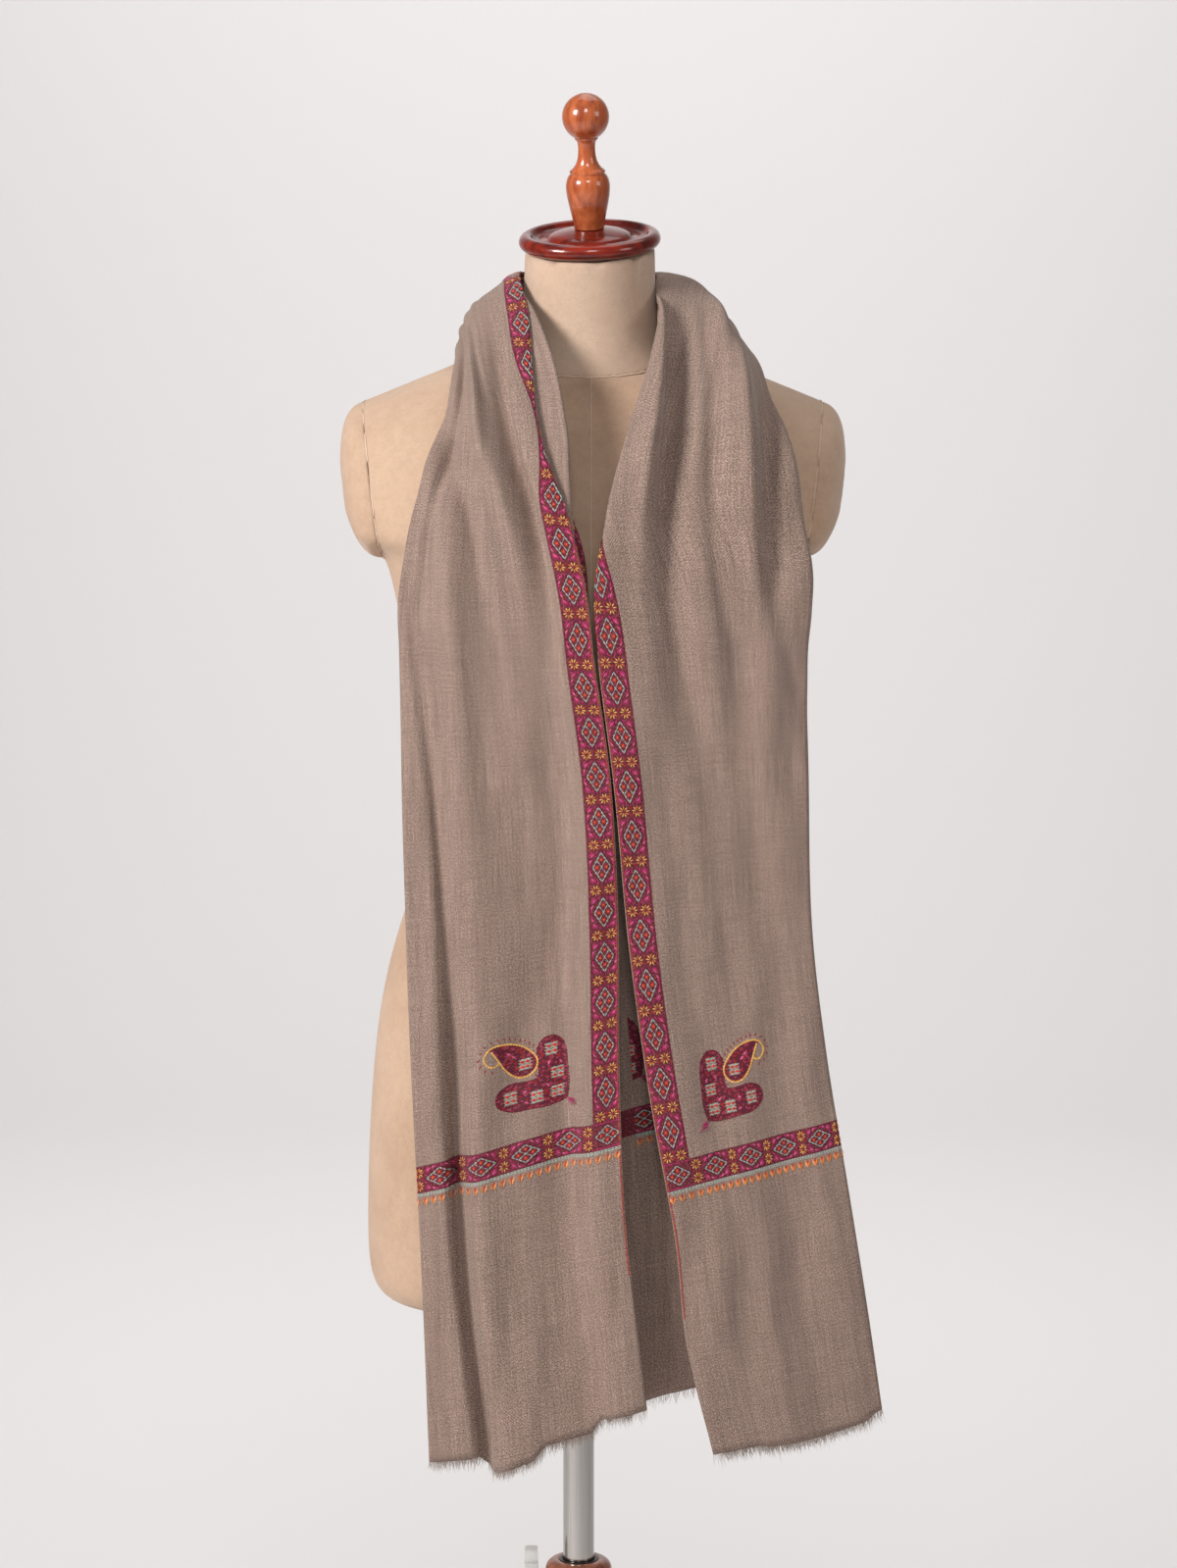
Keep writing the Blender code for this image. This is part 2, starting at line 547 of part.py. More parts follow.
def section_path(width, spacing, margin, peek, under):
    """One section of the folded cloth, selvedge to selvedge: across, outwards, and the leaf."""
    radius = TURN_RADIUS * min(max(margin / FULL_TURN, 0.0), 1.0)
    first_gap = spacing + radius
    heights = (0.0, -first_gap, -first_gap - spacing, -first_gap - 2 * spacing)
    reaches = EDGE_REACHES + [
        EDGE_REACHES[-1] + share * (width - OUTER_MARGIN - EDGE_REACHES[-1])
        for share in OUTER_SHARES
    ]
    path = []
    for share in TURN_SHARES:
        past = share * max(margin, SHORTEST_TURN) - margin
        drop = -0.5 * radius * (1 - math.tanh(past / max(radius, 0.0001)))
        path.append((math.hypot(past, radius) - radius, drop, 0))
    path += [(reach, heights[0], 0) for reach in reaches]
    path += fold_arc(width, heights[0], first_gap, 1, 0)
    path += [(reach, heights[1], 1) for reach in reversed(reaches)]
    path.append(((peek + reaches[0]) / 2, heights[1], 1))
    path += fold_arc(peek, heights[1], spacing, -1, 1)
    path.append(((peek + reaches[0]) / 2, heights[2], 2))
    path += [(reach, heights[2], 2) for reach in reaches]
    path += fold_arc(width - BACK_FOLD_INSET, heights[2], spacing, 1, 2)
    path += [(reach, heights[3], 3) for reach in reversed(reaches)]
    for share in (0.5, 1.0):
        path.append((reaches[0] + share * (under - reaches[0]), heights[3], 3))
    return path


def fold_arc(edge, height, gap, side, leaf):
    """Three points round a lengthwise fold at the outer (1) or the inner (-1) edge."""
    points = []
    for degrees in FOLD_ANGLES:
        angle = math.radians(degrees)
        reach = edge - side * gap / 2 * (1 - math.cos(angle))
        points.append((reach, height - gap / 2 * (1 + math.sin(angle)), leaf))
    return points


def cloth_ring(v):
    """The places of one section of the cloth, at a distance v from the left hem."""
    spot = station_at(v)
    inner = spline(INNER, spot)
    across = spline(OUTER, spot) - inner
    width = across.length
    across.normalize()
    ahead = spline(INNER, spot + NEAR_BY) + spline(OUTER, spot + NEAR_BY)
    behind = spline(INNER, spot - NEAR_BY) + spline(OUTER, spot - NEAR_BY)
    outward = (ahead - behind).cross(across).normalized()
    side, hem_distance = ("left", v) if v < CLOTH_LENGTH / 2 else ("right", CLOTH_LENGTH - v)
    fade = min(max(1 - hem_distance / HEM_FADE, 0.0) ** 2, 1.0)
    sinking = min(max((SINK_TOP - inner.z) / SINK_FADE, 0.0), 1.0) if side == "left" else 0.0
    path = section_path(
        width, column("spacing", spot), max(column("turned", spot), 0.0),
        column("peek", spot), column("under", spot),
    )
    ring = []
    for reach, height, leaf in path:
        share = min(max(reach / width, 0.0), 1.0)
        height += 4 * column("swell", spot) * share * (1 - share)
        for crease in CREASES:
            past = v / CLOTH_LENGTH - crease.middle
            out = crease.out if crease.out > 0.0 else width + crease.out
            off = reach - out - crease.drift * past
            half_width = crease.inner_side if off < 0.0 else crease.outer_side
            height -= crease.depth * math.exp(-(past / crease.reach) ** 2 - (off / half_width) ** 2)
        if leaf == 3 and reach < EDGE_REACHES[0]:
            back = min((EDGE_REACHES[0] - reach) / EDGE_REACHES[0], 1.0)
            height -= BEHIND_SINK * sinking * back * back * (3 - 2 * back)
        drop = Vector((0.0, 0.0, -fade * hem_drop(reach, side)))
        ring.append(inner + across * reach + outward * height + drop)
    return ring


def spread(start, end, count):
    """Evenly spaced numbers, ends included."""
    return [start + (end - start) * i / (count - 1) for i in range(count)]


def cloth_piece(name, rows, surface, wall=CLOTH_WALL):
    """One stretch of the cloth: an open sheet given its thickness by Solidify."""
    mesh = ring_mesh(name, [cloth_ring(v) for v in rows], closed_ring=False, capped=False)
    piece = add_object(name, mesh, surface)
    solid = piece.modifiers.new("cloth_wall", "SOLIDIFY")
    solid.thickness = wall
    solid.offset = 0.0
    return piece


left_rows = spread(0.0, 0.54, 10) + spread(0.59, LEFT_END - STRETCH_GAP, 7)
neck_rows = spread(LEFT_END + STRETCH_GAP, RIGHT_START - STRETCH_GAP, 15)
right_rows = spread(RIGHT_START + STRETCH_GAP, 1.41, 7) + spread(1.46, CLOTH_LENGTH, 10)
shawl_left = cloth_piece("shawl_left", left_rows, SHAWL_CLOTH)
shawl_neck = cloth_piece("shawl_neck", neck_rows, SHAWL_CLOTH)
shawl_right = cloth_piece("shawl_right", right_rows, SHAWL_CLOTH)
fringe_left = cloth_piece("fringe_left", [-FRINGE_REACH, -SEAM_GAP], FRINGE_YARN, 0.0010)
fringe_right = cloth_piece(
    "fringe_right", [CLOTH_LENGTH + SEAM_GAP, CLOTH_LENGTH + FRINGE_REACH], FRINGE_YARN, 0.0010
)
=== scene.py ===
import math
import random
from collections import namedtuple

import bpy
import numpy as np
from mathutils import Matrix, Vector


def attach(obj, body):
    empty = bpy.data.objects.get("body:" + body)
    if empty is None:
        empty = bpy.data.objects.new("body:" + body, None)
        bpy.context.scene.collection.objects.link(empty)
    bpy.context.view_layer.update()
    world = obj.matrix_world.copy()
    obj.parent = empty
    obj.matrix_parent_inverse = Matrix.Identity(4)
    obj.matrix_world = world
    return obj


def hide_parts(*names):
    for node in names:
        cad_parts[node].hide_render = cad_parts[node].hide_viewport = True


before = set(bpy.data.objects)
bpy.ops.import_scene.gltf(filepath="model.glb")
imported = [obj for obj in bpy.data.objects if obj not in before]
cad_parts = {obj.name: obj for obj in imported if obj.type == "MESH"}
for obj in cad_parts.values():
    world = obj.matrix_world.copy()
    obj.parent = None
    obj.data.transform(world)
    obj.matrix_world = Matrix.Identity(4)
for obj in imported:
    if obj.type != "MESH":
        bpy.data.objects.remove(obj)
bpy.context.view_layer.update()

# ------------------------------------------------------------------ studio
# A plain pale studio: a seamless floor that curves up into a wall far behind the stand, a soft
# key light on the viewer's left, a weaker fill on the right, a front, a top and a wall light.
STUDIO_GREY = (0.86, 0.835, 0.83)
LOOK_HEIGHT = 1.15           # the height that the lights face
LENS = 79.2
VIEW_PLACE = (0.0076, -2.6, 1.322)
VIEW_DOWN = math.radians(4.9)
WALL_LIGHT_TIP = math.radians(62)


def deselect_all():
    """Nothing stays selected before a piece is started."""
    bpy.ops.object.select_all(action="DESELECT")


def new_material(name, colour, roughness, metallic=0.0):
    """A Principled material, its node tree and its shader."""
    made = bpy.data.materials.new(name)
    made.use_nodes = True
    tree = made.node_tree
    shader = tree.nodes["Principled BSDF"]
    shader.inputs["Base Color"].default_value = (*colour, 1.0)
    shader.inputs["Roughness"].default_value = roughness
    shader.inputs["Metallic"].default_value = metallic
    return made, tree, shader


def softbox(name, place, size, power, colour=(1.0, 1.0, 1.0)):
    """A square softbox that faces the middle of the shawl."""
    lamp = bpy.data.lights.new(name, "AREA")
    lamp.energy = power
    lamp.size = size
    lamp.color = colour
    box = bpy.data.objects.new(name, lamp)
    bpy.context.scene.collection.objects.link(box)
    box.location = place
    ahead = Vector((0.0, 0.0, LOOK_HEIGHT)) - Vector(place)
    box.rotation_euler = ahead.to_track_quat("-Z", "Y").to_euler()
    return box


camera_data = bpy.data.cameras.new("camera")
camera_data.lens = LENS
camera = bpy.data.objects.new("camera", camera_data)
bpy.context.scene.collection.objects.link(camera)
camera.location = VIEW_PLACE
camera.rotation_euler = (math.pi / 2 - VIEW_DOWN, 0.0, 0.0)
bpy.context.scene.camera = camera
bpy.context.scene.view_settings.view_transform = "Standard"

world = bpy.data.worlds.new("studio")
world.use_nodes = True
world_tree = world.node_tree
room_light = world_tree.nodes["Background"]
room_light.inputs["Color"].default_value = (*STUDIO_GREY, 1.0)
room_light.inputs["Strength"].default_value = 0.15
room_look = world_tree.nodes.new("ShaderNodeBackground")
room_look.inputs["Color"].default_value = (*STUDIO_GREY, 1.0)
room_mix = world_tree.nodes.new("ShaderNodeMixShader")
seen = world_tree.nodes.new("ShaderNodeLightPath")
world_tree.links.new(seen.outputs["Is Camera Ray"], room_mix.inputs["Fac"])
world_tree.links.new(room_light.outputs[0], room_mix.inputs[1])
world_tree.links.new(room_look.outputs[0], room_mix.inputs[2])
world_tree.links.new(room_mix.outputs[0], world_tree.nodes["World Output"].inputs["Surface"])
bpy.context.scene.world = world

softbox("key_light", (-2.1, -1.7, 2.3), 0.9, 84.0, (1.0, 0.98, 0.96))
softbox("fill_light", (2.6, -1.7, 2.1), 1.0, 13.0)
softbox("front_light", (0.1, -3.0, 2.9), 0.8, 26.0)
softbox("top_light", (0.2, 0.4, 3.4), 1.6, 12.0)
wall_light = softbox("wall_light", (0.0, 2.2, 4.6), 4.0, 185.0)
wall_light.rotation_euler = (WALL_LIGHT_TIP, 0.0, 0.0)

FLOOR_REACH = 9.0
WALL_START = 4.5
WALL_CURVE = 2.0
CURVE_STEPS = 12
deselect_all()
bpy.ops.mesh.primitive_plane_add(size=2 * FLOOR_REACH, location=(0.0, WALL_START - FLOOR_REACH, 0.0))
floor = bpy.context.object
floor.name = "studio_floor"
bpy.ops.object.transform_apply(location=True, rotation=True, scale=True)
for edge in floor.data.edges:
    edge.select = all(floor.data.vertices[i].co.y > 0.0 for i in edge.vertices)
for face in floor.data.polygons:
    face.select = False
for vert in floor.data.vertices:
    vert.select = vert.co.y > 0.0
bpy.ops.object.mode_set(mode="EDIT")
chord = WALL_CURVE * math.pi / 2 / CURVE_STEPS
for step in range(CURVE_STEPS):
    angle = math.pi / 2 * (step + 0.5) / CURVE_STEPS
    bpy.ops.mesh.extrude_edges_move(
        TRANSFORM_OT_translate={"value": (0.0, chord * math.cos(angle), chord * math.sin(angle))}
    )
bpy.ops.mesh.extrude_edges_move(TRANSFORM_OT_translate={"value": (0.0, 0.0, 2 * WALL_START)})
bpy.ops.object.mode_set(mode="OBJECT")
bpy.ops.object.shade_smooth()
floor.data.materials.append(new_material("studio_paint", STUDIO_GREY, 0.9)[0])

# ------------------------------------------------------------------ dress form
# A padded torso, neck and two arm caps under a close cover of beige suede. The cover's panels
# meet in plain seams: down the middle, round the neck and round each arm cap.
FORM_MIDDLE = 0.0108
ARM_SEAM_TOP = (0.1714, 1.3863)      # out from the middle, and height
ARM_SEAM_BOTTOM = (0.1566, 1.2771)
NECK_SEAM_HEIGHT = 1.42415
NECK_SEAM_TIP = math.radians(20)
SEAM_NEAR = 0.0007
SEAM_CORD = 0.0007


def node(tree, kind, **inputs):
    """A shader node with some of its inputs set."""
    made = tree.nodes.new(kind)
    for key, value in inputs.items():
        made.inputs[key.replace("_", " ")].default_value = value
    return made


def object_mapping(tree, scale=(1, 1, 1), rotation=(0, 0, 0), location=(0, 0, 0)):
    """Object coordinates, scaled, turned and centred on the piece."""
    coordinates = tree.nodes.new("ShaderNodeTexCoord")
    mapping = tree.nodes.new("ShaderNodeMapping")
    mapping.inputs["Location"].default_value = location
    mapping.inputs["Rotation"].default_value = rotation
    mapping.inputs["Scale"].default_value = scale
    tree.links.new(coordinates.outputs["Object"], mapping.inputs["Vector"])
    return mapping.outputs["Vector"]


def noise(tree, place, scale, detail=2.0, roughness=0.5):
    """A noise texture's value at a place."""
    made = node(tree, "ShaderNodeTexNoise", Scale=scale, Detail=detail, Roughness=roughness)
    tree.links.new(place, made.inputs["Vector"])
    return made.outputs["Fac"]


def ramp(tree, factor, *stops):
    """A colour ramp of (position, colour) stops."""
    made = tree.nodes.new("ShaderNodeValToRGB")
    bands = made.color_ramp.elements
    while len(bands) < len(stops):
        bands.new(0.5)
    for band, (position, colour) in zip(bands, stops):
        band.position = position
        band.color = (*colour, 1.0)
    tree.links.new(factor, made.inputs["Fac"])
    return made.outputs["Color"]


def mix_colours(tree, factor, first, second, blend="MIX"):
    """Mixes two colours; each of the three may be a socket or a value."""
    made = tree.nodes.new("ShaderNodeMix")
    made.data_type = "RGBA"
    made.blend_type = blend
    for socket, value in zip((made.inputs[0], made.inputs[6], made.inputs[7]), (factor, first, second)):
        if isinstance(value, bpy.types.NodeSocket):
            tree.links.new(value, socket)
        elif isinstance(value, tuple):
            socket.default_value = (*value, 1.0)
        else:
            socket.default_value = value
    return made.outputs[2]


def shade_range(tree, factor, low, high, dark, light):
    """A grey that goes from dark to light as the factor goes from low to high."""
    return ramp(tree, factor, (low, (dark,) * 3), (high, (light,) * 3))


def bump(tree, shader, height, strength, distance, below=None):
    """Bump from a height on a shader, on top of another bump if one is given."""
    made = tree.nodes.new("ShaderNodeBump")
    made.inputs["Strength"].default_value = strength
    made.inputs["Distance"].default_value = distance
    tree.links.new(height, made.inputs["Height"])
    if below:
        tree.links.new(below, made.inputs["Normal"])
    tree.links.new(made.outputs["Normal"], shader.inputs["Normal"])
    return made.outputs["Normal"]


def suede(name, brushed, worn):
    """Brushed suede: broad handled patches, a fine nap and a soft sheen."""
    made, tree, shader = new_material(name, brushed, 0.9)
    place = object_mapping(tree)
    patches = noise(tree, place, 13.0, 4.0, 0.6)
    nap = noise(tree, place, 950.0, 3.0)
    pores = noise(tree, place, 160.0, 5.0, 0.7)
    colour = ramp(tree, patches, (0.26, worn), (0.60, brushed))
    colour = mix_colours(tree, 1.0, colour, shade_range(tree, nap, 0.3, 0.7, 0.93, 1.04), "MULTIPLY")
    colour = mix_colours(tree, 1.0, colour, shade_range(tree, pores, 0.3, 0.6, 0.92, 1.02), "MULTIPLY")
    tree.links.new(colour, shader.inputs["Base Color"])
    shader.inputs["Sheen Weight"].default_value = 0.3
    shader.inputs["Sheen Roughness"].default_value = 0.5
    shader.inputs["Sheen Tint"].default_value = (1.0, 0.92, 0.84, 1.0)
    shader.inputs["Specular IOR Level"].default_value = 0.2
    bump(tree, shader, nap, 0.25, 0.0003)
    return made


def arm_plane(side):
    """A point and the outward direction of one arm's seam plane."""
    top = Vector((FORM_MIDDLE + side * ARM_SEAM_TOP[0], 0.0, ARM_SEAM_TOP[1]))
    bottom = Vector((FORM_MIDDLE + side * ARM_SEAM_BOTTOM[0], 0.0, ARM_SEAM_BOTTOM[1]))
    down = (bottom - top).normalized()
    return (top + bottom) / 2, Vector((-down.z * side, 0.0, down.x * side))


neck_plane = (
    Vector((0.0, 0.0, NECK_SEAM_HEIGHT)),
    Vector((0.0, -math.sin(NECK_SEAM_TIP), math.cos(NECK_SEAM_TIP))),
)


def near_plane(spot, plane):
    """Whether a spot lies on a seam plane."""
    return abs((spot - plane[0]).dot(plane[1])) < SEAM_NEAR


def start_piece(name, source_mesh):
    """A new object with its own copy of a mesh, selected and active."""
    deselect_all()
    piece = bpy.data.objects.new(name, source_mesh.copy())
    bpy.context.scene.collection.objects.link(piece)
    piece.select_set(True)
    bpy.context.view_layer.objects.active = piece
    return piece


def covered_piece(name, source, cover, crisp_planes):
    """The padded form piece under its cover, smooth between its seams."""
    piece = start_piece(name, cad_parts[source].data)
    piece.data.materials.clear()
    piece.data.materials.append(cover)
    bpy.ops.object.mode_set(mode="EDIT")
    bpy.ops.mesh.select_all(action="SELECT")
    bpy.ops.mesh.remove_doubles(threshold=0.00002)
    bpy.ops.mesh.tris_convert_to_quads(
        face_threshold=math.radians(30), shape_threshold=math.radians(60)
    )
    bpy.ops.mesh.select_all(action="DESELECT")
    bpy.ops.mesh.select_mode(type="EDGE")
    bpy.ops.object.mode_set(mode="OBJECT")
    for edge in piece.data.edges:
        ends = [piece.data.vertices[i].co for i in edge.vertices]
        edge.select = any(all(near_plane(spot, plane) for spot in ends) for plane in crisp_planes)
    bpy.ops.object.mode_set(mode="EDIT")
    bpy.ops.transform.edge_crease(value=0.92)
    bpy.ops.mesh.select_mode(type="VERT")
    bpy.ops.object.mode_set(mode="OBJECT")
    padding = piece.modifiers.new("padding", "SUBSURF")
    padding.levels = 2
    padding.render_levels = 2
    bpy.ops.object.modifier_apply(modifier="padding")
    bpy.ops.object.shade_smooth_by_angle(angle=math.radians(50))
    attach(piece, "form")
    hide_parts(source)
    return piece


def seam_cord(name, cover, plane, surface):
    """The seam's pressed ridge: a fine cord where a plane cuts the cover."""
    cord = start_piece(name, cover.data)
    bpy.ops.object.mode_set(mode="EDIT")
    bpy.ops.mesh.select_all(action="SELECT")
    bpy.ops.mesh.bisect(plane_co=plane[0], plane_no=plane[1])
    bpy.ops.mesh.select_all(action="INVERT")
    bpy.ops.mesh.delete(type="VERT")
    bpy.ops.object.mode_set(mode="OBJECT")
    bpy.ops.object.convert(target="CURVE")
    cord = bpy.context.object
    cord.data.bevel_depth = SEAM_CORD
    cord.data.bevel_resolution = 1
    bpy.ops.object.convert(target="MESH")
    cord = bpy.context.object
    bpy.ops.object.shade_smooth()
    cord.data.materials.clear()
    cord.data.materials.append(surface)
    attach(cord, "form")
    return cord


TORSO_SUEDE = suede("torso_suede", (0.60, 0.415, 0.295), (0.50, 0.325, 0.220))
NECK_SUEDE = suede("neck_suede", (0.62, 0.45, 0.335), (0.56, 0.39, 0.285))
SEAM_SUEDE = suede("seam_suede", (0.70, 0.53, 0.40), (0.62, 0.45, 0.33))
torso_cover = covered_piece(
    "torso_cover", "form_torso", TORSO_SUEDE, [arm_plane(-1), arm_plane(1), neck_plane]
)
neck_cover = covered_piece("neck_cover", "form_neck", NECK_SUEDE, [neck_plane])
for arm, side in (("left", -1), ("right", 1)):
    covered_piece(f"arm_cover_{arm}", f"form_cap_{arm}", TORSO_SUEDE, [arm_plane(side)])
middle_plane = (Vector((FORM_MIDDLE - 0.0015, 0.0, 1.0)), Vector((1.0, 0.0, 0.0)))
seam_cord("middle_seam", torso_cover, middle_plane, SEAM_SUEDE)
for arm, side in (("left", -1), ("right", 1)):
    point, outward = arm_plane(side)
    seam_cord(f"arm_seam_{arm}", torso_cover, (point - outward * 0.0001, outward), SEAM_SUEDE)
neck_point, neck_up = neck_plane
seam_cord("neck_seam", neck_cover, (neck_point + neck_up * 0.0004, neck_up), SEAM_SUEDE)

# ------------------------------------------------------------------ neck cap
# A turned plate of red-brown lacquered wood that closes the neck, with a rounded rim, a sunk
# ring and a raised middle. It leans with the neck, forward and a little to the left.
NECK_TILT = math.radians(16)
NECK_ROLL = math.radians(-2)
CAP_CENTRE = Vector((0.0085, -0.012, 1.5060))
CAP_HALF = 0.00625
DOME_TOP = 0.0085
TURN_SIDES = 96
GRAIN_SCALE = 160.0


def round_stretch(centre_r, centre_z, radius, start, end, steps):
    """A round stretch of a turned profile; angles in degrees, 0 straight out and 90 up."""
    points = []
    for step in range(steps + 1):
        angle = math.radians(start + (end - start) * step / steps)
        points.append((centre_r + radius * math.cos(angle), centre_z + radius * math.sin(angle)))
    return points


def turn_piece(name, profile, surface, sides=TURN_SIDES, smooth_angle=40, ring=False):
    """Turned work: a circle extruded and resized along the profile; a ring closes on itself."""
    deselect_all()
    radius, height = profile[0]
    bpy.ops.mesh.primitive_circle_add(vertices=sides, radius=radius, location=(0, 0, height))
    piece = bpy.context.object
    piece.name = name
    bpy.ops.object.transform_apply(location=True, rotation=True, scale=True)
    bpy.ops.object.mode_set(mode="EDIT")
    bpy.ops.mesh.select_all(action="SELECT")
    for next_radius, next_height in profile[1:] + (profile[:1] if ring else []):
        bpy.ops.mesh.extrude_edges_move(
            TRANSFORM_OT_translate={"value": (0.0, 0.0, next_height - height)}
        )
        ratio = next_radius / radius
        bpy.ops.transform.resize(value=(ratio, ratio, 1.0), center_override=(0.0, 0.0, next_height))
        radius, height = next_radius, next_height
    bpy.ops.mesh.select_all(action="SELECT")
    if ring:
        bpy.ops.mesh.remove_doubles(threshold=0.00001)
    else:
        bpy.ops.mesh.fill_holes(sides=0)
    bpy.ops.mesh.select_all(action="SELECT")
    bpy.ops.mesh.normals_make_consistent(inside=False)
    bpy.ops.object.mode_set(mode="OBJECT")
    bpy.ops.object.shade_smooth_by_angle(angle=math.radians(smooth_angle))
    piece.data.materials.append(surface)
    return piece


def place_piece(piece, location=(0.0, 0.0, 0.0), rotation=(0.0, 0.0, 0.0)):
    """Puts a piece in its place and applies it, so that its object stays at the origin."""
    deselect_all()
    piece.select_set(True)
    bpy.context.view_layer.objects.active = piece
    piece.location = location
    piece.rotation_euler = rotation
    bpy.ops.object.transform_apply(location=True, rotation=True, scale=True)


def lacquered_wood(name, dark, light, roughness, coat, along=(1.0, 1.0, 0.14)):
    """Lacquered wood; the grain is drawn out along one direction."""
    made, tree, shader = new_material(name, light, roughness)
    place = object_mapping(tree, tuple(GRAIN_SCALE * share for share in along))
    grain = noise(tree, place, 1.0, 8.0, 0.62)
    broad = noise(tree, place, 0.22, 3.0)
    colour = ramp(tree, grain, (0.35, dark), (0.66, light))
    colour = mix_colours(tree, 1.0, colour, shade_range(tree, broad, 0.3, 0.7, 0.7, 1.06), "MULTIPLY")
    tree.links.new(colour, shader.inputs["Base Color"])
    shader.inputs["Coat Weight"].default_value = coat
    shader.inputs["Coat Roughness"].default_value = 0.08
    shader.inputs["Specular IOR Level"].default_value = 0.3
    bump(tree, shader, grain, 0.06, 0.0003)
    return made


CAP_WOOD = lacquered_wood(
    "cap_lacquer", (0.100, 0.007, 0.004), (0.32, 0.024, 0.009), 0.28, 0.6, (0.2, 1.0, 1.0)
)
cap_profile = (
    [(0.0004, -CAP_HALF), (0.046, -CAP_HALF)]
    + round_stretch(0.0470, 0.0, 0.0058, -84, 84, 14)
    + [(0.0455, CAP_HALF - 0.0006), (0.0441, 0.0050), (0.0433, 0.0034), (0.0424, 0.0022)]
    + [(0.0405, 0.0014), (0.0385, 0.0011), (0.0365, 0.0012), (0.0345, 0.0016), (0.0322, 0.0018)]
    + [(0.0312, 0.0024), (0.0304, 0.0036), (0.0290, 0.0046), (0.0268, 0.0055), (0.0240, 0.0063)]
    + [(0.0205, 0.0071), (0.0170, 0.0078), (0.0135, 0.0083), (0.0125, DOME_TOP), (0.0004, DOME_TOP)]
)
cap_plate = turn_piece("cap_plate", cap_profile, CAP_WOOD)
place_piece(cap_plate, CAP_CENTRE, (NECK_TILT, NECK_ROLL, 0.0))
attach(cap_plate, "form")
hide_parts("neck_cap")

# ------------------------------------------------------------------ finial
# A vase-shaped turning with a ball on top, of lighter orange-brown lacquered wood, glued on
# the raised middle of the neck cap.
FINIAL_WOOD = lacquered_wood("finial_lacquer", (0.34, 0.060, 0.018), (0.66, 0.175, 0.060), 0.3, 0.8)
finial_profile = (
    [(0.0004, 0.0), (0.0108, 0.0), (0.0113, 0.0006), (0.0112, 0.0020), (0.0122, 0.0070)]
    + [(0.0136, 0.0130), (0.0149, 0.0190), (0.0159, 0.0245), (0.0164, 0.0295), (0.0163, 0.0330)]
    + [(0.0155, 0.0365), (0.0143, 0.0390), (0.0131, 0.0402), (0.0127, 0.0409), (0.0132, 0.0416)]
    + [(0.0133, 0.0424), (0.0127, 0.0431), (0.0117, 0.0438), (0.0102, 0.0452), (0.0087, 0.0474)]
    + [(0.0074, 0.0503), (0.0066, 0.0540), (0.0063, 0.0580), (0.0064, 0.0615), (0.0069, 0.0640)]
    + [(0.0079, 0.0655), (0.0086, 0.0661), (0.0087, 0.0668), (0.0090, 0.0677)]
    + round_stretch(0.0, 0.0823, 0.0174, -56, 88.6, 24)
)
finial_turning = turn_piece("finial_turning", finial_profile, FINIAL_WOOD)
cap_axis = Matrix.Rotation(NECK_ROLL, 3, "Y") @ Matrix.Rotation(NECK_TILT, 3, "X")
finial_foot = CAP_CENTRE + cap_axis @ Vector((0.0, 0.0, DOME_TOP + 0.0003))
place_piece(finial_turning, finial_foot, (NECK_TILT, NECK_ROLL, 0.0))
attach(finial_turning, "form")
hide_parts("finial")

# ------------------------------------------------------------------ pole
# A polished chrome tube that holds the form up. It goes into the form's underside and slides
# in the wooden post, where the clamp screw stops it.
POLE_RADIUS = 0.012
POLE_FOOT = 0.250
POLE_TOP = 0.7647
CHROME, chrome_tree, chrome_shader = new_material("pole_chrome", (0.72, 0.71, 0.70), 0.12, 1.0)
chrome_wear = noise(chrome_tree, object_mapping(chrome_tree, (1500.0, 1500.0, 12.0)), 1.0, 4.0)
chrome_tree.links.new(
    shade_range(chrome_tree, chrome_wear, 0.35, 0.7, 0.10, 0.20), chrome_shader.inputs["Roughness"]
)
chrome_tree.links.new(
    ramp(chrome_tree, chrome_wear, (0.3, (0.42, 0.40, 0.38)), (0.7, (0.58, 0.56, 0.54))),
    chrome_shader.inputs["Base Color"],
)
pole_profile = [
    (0.0004, POLE_FOOT), (POLE_RADIUS - 0.0006, POLE_FOOT), (POLE_RADIUS, POLE_FOOT + 0.0006),
    (POLE_RADIUS, POLE_TOP - 0.0006), (POLE_RADIUS - 0.0006, POLE_TOP), (0.0004, POLE_TOP),
]
pole_tube = turn_piece("pole_tube", pole_profile, CHROME)
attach(pole_tube, "form")
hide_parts("pole")

